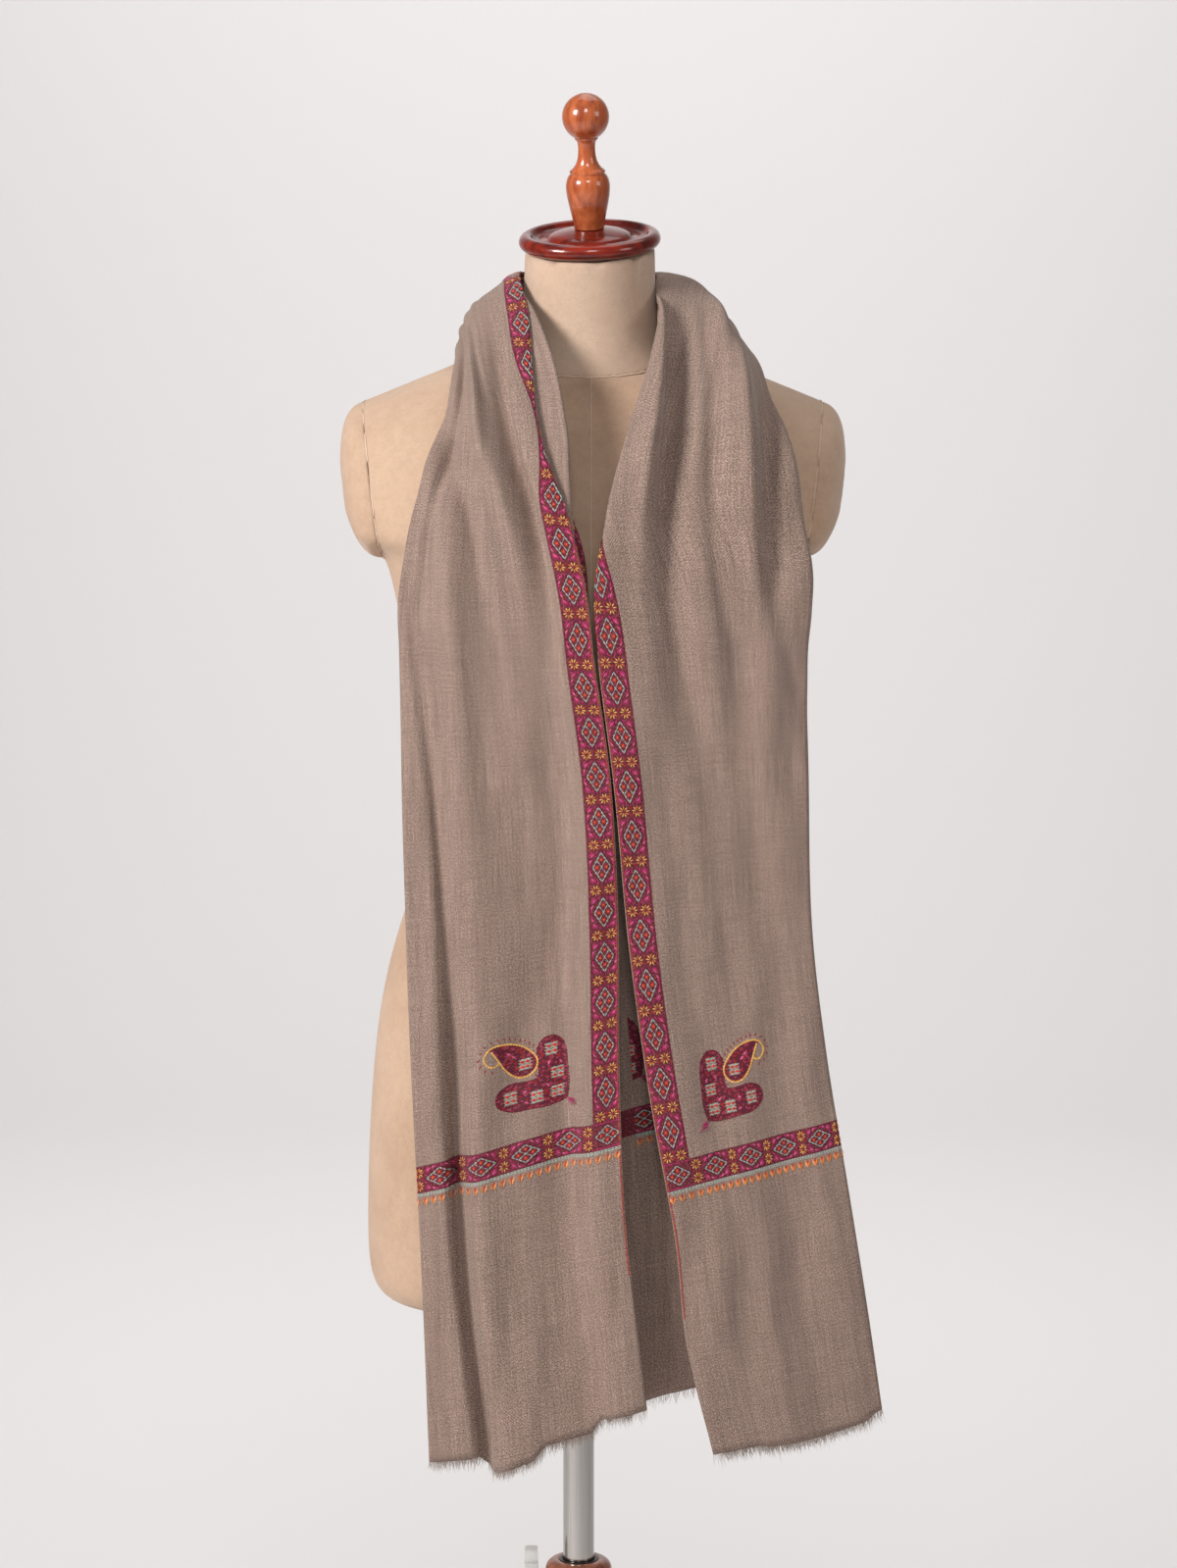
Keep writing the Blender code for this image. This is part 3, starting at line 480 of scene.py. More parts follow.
# ------------------------------------------------------------------ post and base
# A turned hardwood post with a bore for the pole, screwed and glued on a heavy round base.
# A dark steel liner rings the mouth of the bore.
POST_TOP = 0.500
POST_FOOT = 0.0343
BORE_FLOOR = 0.130
BORE_RADIUS = 0.0124
LINER_REACH = 0.0032
BASE_RADIUS = 0.230
STAND_WOOD = lacquered_wood("stand_lacquer", (0.20, 0.060, 0.030), (0.40, 0.150, 0.085), 0.35, 0.6)
post_profile = (
    [(0.0004, BORE_FLOOR), (BORE_RADIUS, BORE_FLOOR), (BORE_RADIUS, POST_TOP - 0.003)]
    + [(BORE_RADIUS + LINER_REACH, POST_TOP - 0.003), (BORE_RADIUS + LINER_REACH, POST_TOP - 0.0002)]
    + round_stretch(0.0175, POST_TOP - 0.008, 0.008, 90, 0, 8)
    + [(0.0255, 0.4400), (0.0253, 0.4220), (0.0240, 0.4120), (0.0218, 0.4040), (0.0214, 0.4020)]
    + [(0.0219, 0.4000), (0.0219, 0.3970), (0.0212, 0.3950), (0.0202, 0.3880), (0.0200, 0.3820)]
    + [(0.0208, 0.3650), (0.0224, 0.3450), (0.0243, 0.3200), (0.0262, 0.2900), (0.0277, 0.2600)]
    + [(0.0284, 0.2350), (0.0283, 0.2100), (0.0274, 0.1850), (0.0256, 0.1580), (0.0234, 0.1330)]
    + [(0.0221, 0.1180), (0.0216, 0.1080), (0.0220, 0.1050), (0.0262, 0.1010), (0.0290, 0.0960)]
    + round_stretch(0.0290, 0.0845, 0.0065, 75, -75, 8)
    + [(0.0330, 0.0760), (0.0355, 0.0730), (0.0360, 0.0690), (0.0360, 0.0610), (0.0372, 0.0570)]
    + [(0.0400, 0.0510), (0.0425, 0.0460), (0.0430, 0.0430), (0.0430, POST_FOOT), (0.0004, POST_FOOT)]
)
post_turning = turn_piece("post_turning", post_profile, STAND_WOOD)
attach(post_turning, "stand")
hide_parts("base_post")

LINER_STEEL, liner_tree, liner_shader = new_material("liner_steel", (0.055, 0.052, 0.050), 0.35, 1.0)
liner_marks = noise(liner_tree, object_mapping(liner_tree, (600.0, 600.0, 90.0)), 1.0, 3.0)
liner_tree.links.new(
    ramp(liner_tree, liner_marks, (0.3, (0.035, 0.033, 0.032)), (0.7, (0.11, 0.105, 0.10))),
    liner_shader.inputs["Base Color"],
)
liner_in, liner_out = BORE_RADIUS + 0.0002, BORE_RADIUS + LINER_REACH - 0.0002
liner_profile = [
    (liner_out, POST_TOP - 0.0028), (liner_out, POST_TOP + 0.0001),
    (liner_out - 0.0004, POST_TOP + 0.0004), (liner_in + 0.0004, POST_TOP + 0.0004),
    (liner_in, POST_TOP + 0.0001), (liner_in, POST_TOP - 0.0028),
]
bore_liner = turn_piece("bore_liner", liner_profile, LINER_STEEL, ring=True)
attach(bore_liner, "stand")

BASE_WOOD = lacquered_wood(
    "base_lacquer", (0.20, 0.060, 0.030), (0.40, 0.150, 0.085), 0.35, 0.6, (0.14, 1.0, 1.0)
)
base_profile = (
    [(0.0004, 0.0), (BASE_RADIUS - 0.003, 0.0)]
    + round_stretch(BASE_RADIUS - 0.003, 0.003, 0.003, -80, 0, 4)
    + round_stretch(BASE_RADIUS - 0.008, 0.0120, 0.008, 0, 84, 8)
    + [(0.2130, 0.0200), (0.2105, 0.0206), (0.2090, 0.0222), (0.2060, 0.0240), (0.1980, 0.0254)]
    + [(0.1850, 0.0271), (0.1700, 0.0285), (0.1480, 0.0297), (0.1250, 0.0307), (0.1000, 0.0317)]
    + [(0.0800, 0.0329), (0.0640, 0.0338), (0.0600, 0.0340), (0.0004, 0.0340)]
)
base_turning = turn_piece("base_turning", base_profile, BASE_WOOD)
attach(base_turning, "stand")
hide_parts("base_disc")

# ------------------------------------------------------------------ clamp knob
# A four-lobed hand knob of milky plastic, moulded on a steel screw that goes through the post
# and presses on the pole.
KNOB_HEIGHT = 0.484
KNOB_FACE = -0.0315
KNOB_THICKNESS = 0.010
KNOB_CORE = 0.0145
LOBES = 4
LOBE_OUT = 0.0183
LOBE_RADIUS = 0.0074
MILKY_PLASTIC, plastic_tree, plastic_shader = new_material("milky_plastic", (0.86, 0.85, 0.83), 0.3)
plastic_cloud = noise(plastic_tree, object_mapping(plastic_tree), 120.0, 3.0)
plastic_tree.links.new(
    ramp(plastic_tree, plastic_cloud, (0.3, (0.80, 0.79, 0.77)), (0.7, (0.90, 0.89, 0.87))),
    plastic_shader.inputs["Base Color"],
)
plastic_shader.inputs["Transmission Weight"].default_value = 0.55
plastic_shader.inputs["IOR"].default_value = 1.46


def lay_cylinder(name, radius, depth, x, y, z):
    """A cylinder that lies along the screw's axis."""
    deselect_all()
    bpy.ops.mesh.primitive_cylinder_add(
        vertices=48, radius=radius, depth=depth, location=(x, y, z), rotation=(0.0, math.pi / 2, 0.0)
    )
    made = bpy.context.object
    made.name = name
    bpy.ops.object.transform_apply(location=True, rotation=True, scale=True)
    return made


knob_middle = KNOB_FACE - KNOB_THICKNESS / 2
knob_head = lay_cylinder("knob_head", KNOB_CORE, KNOB_THICKNESS, knob_middle, 0.0, KNOB_HEIGHT)
for lobe in range(LOBES):
    angle = 2 * math.pi * lobe / LOBES
    lobe_y, lobe_z = LOBE_OUT * math.sin(angle), LOBE_OUT * math.cos(angle)
    lobe_end = lay_cylinder(
        "lobe", LOBE_RADIUS, KNOB_THICKNESS - 0.0002, knob_middle, lobe_y, KNOB_HEIGHT + lobe_z
    )
    deselect_all()
    knob_head.select_set(True)
    bpy.context.view_layer.objects.active = knob_head
    union = knob_head.modifiers.new("lobe", "BOOLEAN")
    union.operation = "UNION"
    union.object = lobe_end
    bpy.ops.object.modifier_apply(modifier="lobe")
    bpy.data.objects.remove(lobe_end, do_unlink=True)
rounding = knob_head.modifiers.new("rounding", "BEVEL")
rounding.width = 0.0011
rounding.segments = 3
rounding.limit_method = "ANGLE"
rounding.angle_limit = math.radians(35)
bpy.ops.object.modifier_apply(modifier="rounding")
bpy.ops.object.shade_smooth_by_angle(angle=math.radians(40))
knob_head.data.materials.append(MILKY_PLASTIC)
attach(knob_head, "knob")
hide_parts("clamp_knob")
screw_start = -BORE_RADIUS + 0.0001
screw_length = screw_start - KNOB_FACE - 0.0002
knob_screw = lay_cylinder(
    "knob_screw", 0.0039, screw_length, screw_start - screw_length / 2, 0.0, KNOB_HEIGHT
)
chamfer = knob_screw.modifiers.new("chamfer", "BEVEL")
chamfer.width = 0.0006
chamfer.segments = 2
chamfer.limit_method = "ANGLE"
bpy.ops.object.modifier_apply(modifier="chamfer")
bpy.ops.object.shade_smooth_by_angle(angle=math.radians(40))
knob_screw.data.materials.append(LINER_STEEL)
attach(knob_screw, "knob")

# ------------------------------------------------------------------ shawl
# One long stole of fine hand-woven goat's wool, 0.70 by 2.00 m, folded lengthwise in four and
# hung round the neck. It is a single sheet: every point of the flat cloth, u across from one
# selvedge and v along from the left hem, has its place in the folded, hanging cloth.
CLOTH_WIDTH = 0.70
CLOTH_LENGTH = 2.00
CLOTH_WALL = 0.0007
FIRST_FOLD = 0.165           # where the cloth is folded, from the first selvedge
SECOND_FOLD = 0.330
THIRD_FOLD = 0.500
BACK_FOLD_INSET = 0.004      # the third fold lies this far inside the first
TRUE_EDGE = 0.030            # the strip by the first selvedge that is never gathered
TURN_RADIUS = 0.004          # softness of the turned-under edge
FULL_TURN = 0.02             # the edge has its full softness from this much turned under

# Stations along the shawl, from the left hem, over the neck, to the right hem: the front
# leaf's inner and outer edge, how far it swells between them, the spacing of the leaves, the
# margin turned under along the first selvedge, how far the second fold stands outside the
# inner edge, and where the second selvedge ends, measured the same.
Station = namedtuple("Station", "ix iy iz ox oy oz swell spacing turned peek under")
STATIONS = [Station(*row) for row in (
    # inner x, y, z            outer x, y, z             swell  spacing turned peek    under
    (0.0500, -0.150, 0.657, -0.1090, -0.128, 0.612, 0.004, 0.0045, 0.000, 0.012, -0.046),
    (0.0350, -0.151, 0.790, -0.1140, -0.129, 0.750, 0.004, 0.0045, 0.000, 0.012, -0.056),
    (0.0300, -0.152, 0.900, -0.1190, -0.130, 0.860, 0.004, 0.0045, 0.000, 0.012, -0.055),
    (0.0290, -0.152, 1.010, -0.1240, -0.130, 0.985, 0.004, 0.0045, 0.000, 0.012, -0.038),
    (0.0240, -0.152, 1.110, -0.1265, -0.129, 1.100, 0.004, 0.0045, 0.000, 0.012, -0.008),
    (0.0125, -0.152, 1.195, -0.1285, -0.126, 1.200, 0.004, 0.0045, 0.000, 0.010, 0.002),
    (0.0075, -0.151, 1.240, -0.1295, -0.122, 1.240, 0.004, 0.0045, 0.000, 0.008, 0.002),
    (-0.0005, -0.148, 1.278, -0.1240, -0.116, 1.284, 0.004, 0.0040, 0.000, 0.003, -0.002),
    (-0.0105, -0.142, 1.312, -0.1160, -0.106, 1.318, 0.005, 0.0040, 0.003, -0.004, 0.000),
    (-0.0220, -0.133, 1.342, -0.1075, -0.095, 1.348, 0.006, 0.0040, 0.013, -0.014, 0.004),
    (-0.0300, -0.118, 1.372, -0.1000, -0.080, 1.378, 0.007, 0.0036, 0.018, -0.021, 0.008),
    (-0.0335, -0.092, 1.408, -0.0945, -0.056, 1.401, 0.008, 0.0030, 0.009, -0.018, 0.010),
    (-0.0370, -0.060, 1.447, -0.0915, -0.024, 1.417, 0.010, 0.0024, 0.005, -0.006, 0.008),
    (-0.0440, -0.022, 1.476, -0.0925, 0.014, 1.425, 0.011, 0.0015, 0.007, 0.004, 0.008),
    (-0.0430, 0.022, 1.484, -0.0830, 0.062, 1.427, 0.011, 0.0014, 0.008, 0.004, 0.008),
    (-0.0225, 0.054, 1.482, -0.0470, 0.097, 1.415, 0.010, 0.0015, 0.006, 0.004, 0.008),
    (0.0085, 0.065, 1.480, 0.0085, 0.109, 1.405, 0.009, 0.0016, 0.010, 0.004, 0.008),
    (0.0400, 0.058, 1.482, 0.0680, 0.101, 1.415, 0.010, 0.0015, 0.022, 0.004, 0.008),
    (0.0600, 0.024, 1.485, 0.1080, 0.072, 1.427, 0.012, 0.0014, 0.032, 0.004, 0.008),
    (0.0605, -0.016, 1.475, 0.1270, 0.022, 1.424, 0.013, 0.0015, 0.040, 0.004, 0.008),
    (0.0575, -0.054, 1.445, 0.1370, -0.028, 1.414, 0.012, 0.0026, 0.040, 0.004, 0.010),
    (0.0500, -0.088, 1.408, 0.1440, -0.066, 1.391, 0.010, 0.0038, 0.040, 0.006, 0.010),
    (0.0400, -0.114, 1.376, 0.1530, -0.092, 1.362, 0.008, 0.0040, 0.040, 0.008, 0.010),
    (0.0300, -0.132, 1.342, 0.1600, -0.106, 1.330, 0.006, 0.0040, 0.040, 0.008, 0.010),
    (0.0220, -0.142, 1.312, 0.1640, -0.113, 1.296, 0.005, 0.0042, 0.034, 0.008, 0.010),
    (0.0170, -0.149, 1.282, 0.1690, -0.119, 1.262, 0.004, 0.0045, 0.018, 0.008, 0.010),
    (0.0120, -0.151, 1.245, 0.1680, -0.124, 1.232, 0.004, 0.0045, 0.004, 0.008, 0.010),
    (0.0150, -0.152, 1.195, 0.1650, -0.128, 1.195, 0.004, 0.0045, 0.000, 0.008, 0.010),
    (0.0260, -0.152, 1.105, 0.1660, -0.130, 1.110, 0.004, 0.0045, 0.000, 0.008, 0.010),
    (0.0370, -0.152, 0.990, 0.1690, -0.131, 1.005, 0.004, 0.0045, 0.000, 0.008, 0.012),
    (0.0510, -0.152, 0.890, 0.1800, -0.131, 0.915, 0.004, 0.0045, 0.000, 0.008, 0.012),
    (0.0700, -0.152, 0.780, 0.1970, -0.130, 0.812, 0.004, 0.0045, 0.000, 0.008, 0.012),
    (0.0790, -0.151, 0.700, 0.2110, -0.129, 0.728, 0.004, 0.0045, 0.000, 0.008, 0.012),
    (0.0980, -0.150, 0.620, 0.2225, -0.128, 0.655, 0.004, 0.0045, 0.000, 0.008, 0.012),
)]
BEHIND_SINK = 0.018          # how far the second selvedge lies back where it passes the inner edge
SINK_REACH = 0.018
SINK_TOP = 1.15              # it starts to lie back below this height, over the next stretch
SINK_FADE = 0.10

# Large soft folds of all four leaves: the share of the length where a fold is deepest, how
# long it is, how far it lies from the inner edge (negative is in from the outer edge), its
# drift outwards along the cloth, its half width to the inner and the outer side, its depth
# (negative is a ridge).
Crease = namedtuple("Crease", "middle reach out drift inner_side outer_side depth")
CREASES = [Crease(*row) for row in (
    (0.366, 0.060, 0.0235, -0.06, 0.004, 0.009, 0.022),
    (0.358, 0.060, 0.046, 0.00, 0.008, 0.008, -0.009),
    (0.360, 0.060, -0.014, 0.06, 0.005, 0.004, 0.006),
    (0.330, 0.070, 0.076, 0.05, 0.008, 0.009, 0.008),
    (0.310, 0.080, 0.099, 0.00, 0.008, 0.008, -0.004),
    (0.270, 0.060, 0.034, -0.04, 0.010, 0.014, 0.006),
    (0.060, 0.170, 0.126, 0.02, 0.011, 0.004, 0.016),
    (0.100, 0.160, 0.045, 0.02, 0.013, 0.040, 0.017),
    (0.100, 0.150, 0.108, 0.02, 0.014, 0.010, -0.005),
    (0.150, 0.150, 0.020, 0.00, 0.014, 0.014, -0.003),
    (0.210, 0.120, 0.040, 0.04, 0.012, 0.012, 0.004),
    (0.624, 0.052, 0.023, 0.37, 0.004, 0.012, 0.036),
    (0.626, 0.056, 0.012, 0.30, 0.007, 0.005, -0.008),
    (0.632, 0.085, 0.080, 0.70, 0.013, 0.010, -0.011),
    (0.655, 0.075, 0.110, 0.45, 0.009, 0.009, 0.009),
    (0.640, 0.060, 0.062, 0.50, 0.007, 0.008, 0.006),
    (0.700, 0.090, 0.058, 0.10, 0.014, 0.014, 0.006),
    (0.780, 0.130, 0.100, 0.05, 0.016, 0.014, 0.004),
    (0.850, 0.140, 0.045, 0.04, 0.014, 0.014, 0.004),
    (0.920, 0.150, 0.085, 0.05, 0.016, 0.016, 0.005),
)]

# How deep a fold can go before it would meet the form, at shares of the cloth's length; where
# a fold is deep the leaves under it are squeezed together by a share of their spacing.
Room = namedtuple("Room", "share depth")
ROOMS = [Room(*row) for row in (
    (0.00, 0.0300),
    (0.31, 0.0260),
    (0.36, 0.0172),
    (0.41, 0.0060),
    (0.44, 0.0015),
    (0.57, 0.0015),
    (0.59, 0.0060),
    (0.61, 0.0165),
    (0.63, 0.0210),
    (0.70, 0.0270),
    (1.00, 0.0300),
)]
LEAF_SQUEEZE = 0.5

# Smaller folds of the front leaf alone: the length v and the width u where a fold is deepest,
# its half length, its drift across for each metre along, its half width and its depth.
SmallFold = namedtuple("SmallFold", "v u reach drift half_width depth")
SMALL_FOLDS = [SmallFold(*row) for row in (
    (0.760, 0.075, 0.110, 0.06, 0.0085, 0.0022),
    (0.780, 0.105, 0.120, 0.05, 0.0080, 0.0020),
    (0.740, 0.132, 0.110, 0.04, 0.0075, 0.0020),
    (0.830, 0.060, 0.070, 0.00, 0.0065, 0.0008),
    (0.850, 0.090, 0.070, 0.00, 0.0085, 0.0006),
    (0.860, 0.116, 0.060, 0.00, 0.0085, 0.0005),
    (0.980, 0.050, 0.060, 0.02, 0.0070, 0.0011),
    (0.990, 0.078, 0.060, -0.02, 0.0072, 0.0012),
    (0.985, 0.106, 0.060, 0.03, 0.0072, 0.0011),
    (1.060, 0.070, 0.070, 0.03, 0.0075, 0.0012),
    (1.060, 0.100, 0.070, 0.00, 0.0075, 0.0012),
    (1.180, 0.085, 0.080, 0.05, 0.0070, 0.0018),
    (1.210, 0.115, 0.110, 0.06, 0.0080, 0.0022),
    (1.250, 0.140, 0.120, 0.04, 0.0080, 0.0022),
    (0.560, 0.060, 0.120, 0.03, 0.0110, 0.0014),
    (0.520, 0.100, 0.140, 0.02, 0.0120, 0.0014),
    (0.400, 0.075, 0.160, 0.00, 0.0160, 0.0012),
    (0.300, 0.120, 0.160, 0.02, 0.0150, 0.0012),
    (1.450, 0.070, 0.140, 0.04, 0.0140, 0.0014),
    (1.560, 0.110, 0.160, 0.00, 0.0160, 0.0014),
    (1.700, 0.075, 0.160, 0.00, 0.0160, 0.0012),
    (1.840, 0.120, 0.140, 0.02, 0.0150, 0.0014),
    (0.120, 0.050, 0.120, 0.00, 0.0140, 0.0014),
)]
FOLD_MARGIN = 0.010          # the small folds die away this near to the first selvedge
ROLL_MARGIN = 0.030          # and this near to the first fold, which stays a plain roll
DRAPE_DEPTH = 0.0007         # uneven lie of the whole cloth
DRAPE_WAVES = 9

# How much lower than a straight cut each fall's hem hangs, at distances from the inner edge.
HemDrop = namedtuple("HemDrop", "out left right")
HEM_DROPS = [HemDrop(*row) for row in (
    (0.000, 0.000, -0.004),
    (0.036, 0.000, 0.000),
    (0.044, 0.010, 0.003),
    (0.078, 0.009, 0.008),
    (0.086, 0.017, 0.009),
    (0.118, 0.020, 0.008),
    (0.127, 0.006, 0.004),
    (0.165, 0.000, 0.000),
)]
HEM_FADE = 0.25              # the drop is taken up over this much cloth
STATION_TABLE = np.array(STATIONS)
random.seed(4)
drape_waves = [
    (
        2 * math.pi / random.uniform(0.035, 0.11),
        2 * math.pi / random.uniform(0.12, 0.45) * random.choice((-1, 1)),
        random.uniform(0.0, 2 * math.pi),
    )
    for _ in range(DRAPE_WAVES)
]


def read_rows(values, spots):
    """A smooth curve through a table's rows, read at fractional row numbers."""
    last = len(values) - 1
    rows = np.vstack([2 * values[:1] - values[1:2], values, 2 * values[-1:] - values[-2:-1]])
    i = np.clip(np.floor(spots).astype(int), 0, last - 1)
    t = (spots - i)[:, None]
    before, start, end, after = rows[i], rows[i + 1], rows[i + 2], rows[i + 3]
    bend = 2 * before - 5 * start + 4 * end - after + t * (3 * (start - end) + after - before)
    return start + 0.5 * t * (end - before + t * bend)


def middle_line(spots):
    """Points half way between the front leaf's edges."""
    rows = read_rows(STATION_TABLE, spots)
    return (rows[:, 0:3] + rows[:, 3:6]) / 2


fine_spots = np.linspace(0.0, len(STATIONS) - 1.0, 40 * (len(STATIONS) - 1) + 1)
fine_steps = np.linalg.norm(np.diff(middle_line(fine_spots), axis=0), axis=1)
fine_lengths = np.concatenate([[0.0], np.cumsum(fine_steps)])
fine_lengths *= CLOTH_LENGTH / fine_lengths[-1]


def station_at(v):
    """The fractional station number at a distance along the cloth; hems run on straight."""
    spot = np.interp(v, fine_lengths, fine_spots)
    first_rate = fine_spots[1] / fine_lengths[1]
    last_rate = (fine_spots[-1] - fine_spots[-2]) / (fine_lengths[-1] - fine_lengths[-2])
    return spot + np.minimum(v, 0.0) * first_rate + np.maximum(v - CLOTH_LENGTH, 0.0) * last_rate


def unit(vectors):
    """Vectors brought to length one."""
    return vectors / np.maximum(np.linalg.norm(vectors, axis=1, keepdims=True), 1e-9)


def leaf_section(u, width, spacing, margin, peek, under):
    """Where a point of the flat width lies in the folded section: across, outwards, leaf."""
    radius = TURN_RADIUS * np.clip(margin / FULL_TURN, 0.0, 1.0)
    first_gap = spacing + radius
    heights = [0.0 * spacing, -first_gap, -first_gap - spacing, -first_gap - 2 * spacing]
    back_edge = width - BACK_FOLD_INSET
    first_arc = math.pi * first_gap / 4
    arc = math.pi * spacing / 4
    past = u - margin
    soft = np.maximum(radius, 0.0001)
    start = np.hypot(TRUE_EDGE, soft) - soft
    room = FIRST_FOLD - margin - first_arc - TRUE_EDGE
    gathered = start + (past - TRUE_EDGE) * (width - first_gap / 2 - start) / room
    reach = np.where(past > TRUE_EDGE, gathered, np.hypot(past, soft) - soft)
    height = -0.5 * radius * (1 - np.tanh(past / soft))
    leaf = np.zeros(len(u), int)
    runs = (
        (FIRST_FOLD + first_arc, SECOND_FOLD - arc, width - first_gap / 2, peek + spacing / 2),
        (SECOND_FOLD + arc, THIRD_FOLD - arc, peek + spacing / 2, back_edge - spacing / 2),
        (THIRD_FOLD + arc, CLOTH_WIDTH + 0.0 * arc, back_edge - spacing / 2, under),
    )
    for number, (run_start, run_end, reach_start, reach_end) in enumerate(runs, 1):
        inside = u >= run_start
        share = np.clip((u - run_start) / (run_end - run_start), -0.1, 1.1)
        reach = np.where(inside, reach_start + (reach_end - reach_start) * share, reach)
        height = np.where(inside, heights[number], height)
        leaf = np.where(inside, number, leaf)
    folds = ((FIRST_FOLD, width, first_gap, 1), (SECOND_FOLD, peek, spacing, -1),
             (THIRD_FOLD, back_edge, spacing, 1))
    for number, (place, edge, gap, side) in enumerate(folds):
        half_arc = math.pi * gap / 4
        turn = math.pi / 2 * (u - place) / half_arc
        inside = np.abs(u - place) < half_arc
        round_reach = edge - side * gap / 2 * (1 - np.cos(turn))
        reach = np.where(inside, round_reach, reach)
        height = np.where(inside, heights[number] - gap / 2 * (1 + np.sin(turn)), height)
        leaf = np.where(inside & (u < place), number, leaf)
        leaf = np.where(inside & (u >= place), number + 1, leaf)
    return reach, height, leaf


def cloth_points(u, v):
    """The places in the hanging shawl of points of the flat cloth."""
    spot = station_at(v)
    rows = read_rows(STATION_TABLE, spot)
    inner, outer = rows[:, 0:3], rows[:, 3:6]
    swell, spacing, margin, peek, under = rows[:, 6:11].T
    width = np.linalg.norm(outer - inner, axis=1)
    across = unit(outer - inner)
    outward = unit(np.cross(middle_line(spot + 0.05) - middle_line(spot - 0.05), across))
    reach, height, leaf = leaf_section(u, width, spacing, np.maximum(margin, 0.0), peek, under)
    share = np.clip(reach / width, 0.0, 1.0)
    height = height + 4 * swell * share * (1 - share)
    dip = 0.0 * height
    for crease in CREASES:
        past = v / CLOTH_LENGTH - crease.middle
        out = crease.out if crease.out > 0.0 else width + crease.out
        off = reach - out - crease.drift * past
        half_width = np.where(off < 0.0, crease.inner_side, crease.outer_side)
        dip = dip + crease.depth * np.exp(-((past / crease.reach) ** 2) - (off / half_width) ** 2)
    room = np.interp(v / CLOTH_LENGTH, [row.share for row in ROOMS], [row.depth for row in ROOMS])
    room = np.maximum(room - LEAF_SQUEEZE * spacing * leaf, 0.00001)
    height = height - np.where(dip > 0.0, room * np.tanh(dip / room), dip)
    left = v < CLOTH_LENGTH / 2
    sinking = np.where(left, np.clip((SINK_TOP - inner[:, 2]) / SINK_FADE, 0.0, 1.0), 0.0)
    back = np.clip((SINK_REACH - reach) / SINK_REACH, 0.0, 1.0)
    height = height - np.where(leaf == 3, BEHIND_SINK * sinking * back * back * (3 - 2 * back), 0.0)
    lie = sum(np.sin(a * reach + b * v + c) for a, b, c in drape_waves)
    height = height + DRAPE_DEPTH * lie / math.sqrt(DRAPE_WAVES) * 1.4
    front = np.where(leaf == 0, np.clip((FIRST_FOLD - u) / ROLL_MARGIN - 0.2, 0.0, 1.0), 0.0)
    front = front * np.clip((u - margin) / FOLD_MARGIN - 1.5, 0.0, 1.0)
    for fold in SMALL_FOLDS:
        past = v - fold.v
        off = u - fold.u - fold.drift * past
        fall = np.exp(-((past / fold.reach) ** 2)) * front
        ridge = np.exp(-((off - 1.7 * fold.half_width) / fold.half_width) ** 2)
        trough = np.exp(-((off / fold.half_width) ** 2))
        height = height + fall * fold.depth * (0.8 * ridge - trough)
    hem_distance = np.where(left, v, CLOTH_LENGTH - v)
    fade = np.clip(np.maximum(1 - hem_distance / HEM_FADE, 0.0) ** 2, 0.0, 1.0)
    outs = [row.out for row in HEM_DROPS]
    drop_left = np.interp(reach, outs, [row.left for row in HEM_DROPS])
    drop_right = np.interp(reach, outs, [row.right for row in HEM_DROPS])
    places = inner + across * reach[:, None] + outward * height[:, None]
    places[:, 2] -= fade * np.where(left, drop_left, drop_right)
    return places


def stretch_of(*stops):
    """Numbers from stops of (start, end, count), each stretch evenly spaced."""
    pieces = [np.linspace(start, end, count, endpoint=False) for start, end, count in stops]
    return np.concatenate(pieces + [[stops[-1][1]]])


FOLD_ROOM = 0.008
columns = stretch_of(
    (0.0, FIRST_FOLD - FOLD_ROOM, 72),
    (FIRST_FOLD - FOLD_ROOM, FIRST_FOLD + FOLD_ROOM, 10),
    (FIRST_FOLD + FOLD_ROOM, SECOND_FOLD - FOLD_ROOM, 14),
    (SECOND_FOLD - FOLD_ROOM, SECOND_FOLD + FOLD_ROOM, 8),
    (SECOND_FOLD + FOLD_ROOM, THIRD_FOLD - FOLD_ROOM, 14),
    (THIRD_FOLD - FOLD_ROOM, THIRD_FOLD + FOLD_ROOM, 8),
    (THIRD_FOLD + FOLD_ROOM, CLOTH_WIDTH, 16),
)
rows_along = np.linspace(0.0, CLOTH_LENGTH, 340)
grid_u, grid_v = np.meshgrid(columns, rows_along)
cloth_places = cloth_points(grid_u.ravel(), grid_v.ravel())
across_count = len(columns)
cloth_faces = [
    (i * across_count + j, i * across_count + j + 1,
     (i + 1) * across_count + j + 1, (i + 1) * across_count + j)
    for i in range(len(rows_along) - 1)
    for j in range(across_count - 1)
]
cloth_mesh = bpy.data.meshes.new("shawl")
cloth_mesh.from_pydata(cloth_places.tolist(), [], cloth_faces)
flat_map = cloth_mesh.uv_layers.new(name="flat_cloth")
corner_vertices = np.zeros(len(cloth_mesh.loops), int)
cloth_mesh.loops.foreach_get("vertex_index", corner_vertices)
flat_places = np.column_stack([grid_u.ravel(), grid_v.ravel()])[corner_vertices]
flat_map.data.foreach_set("uv", flat_places.ravel())
cloth_mesh.polygons.foreach_set("use_smooth", [True] * len(cloth_mesh.polygons))

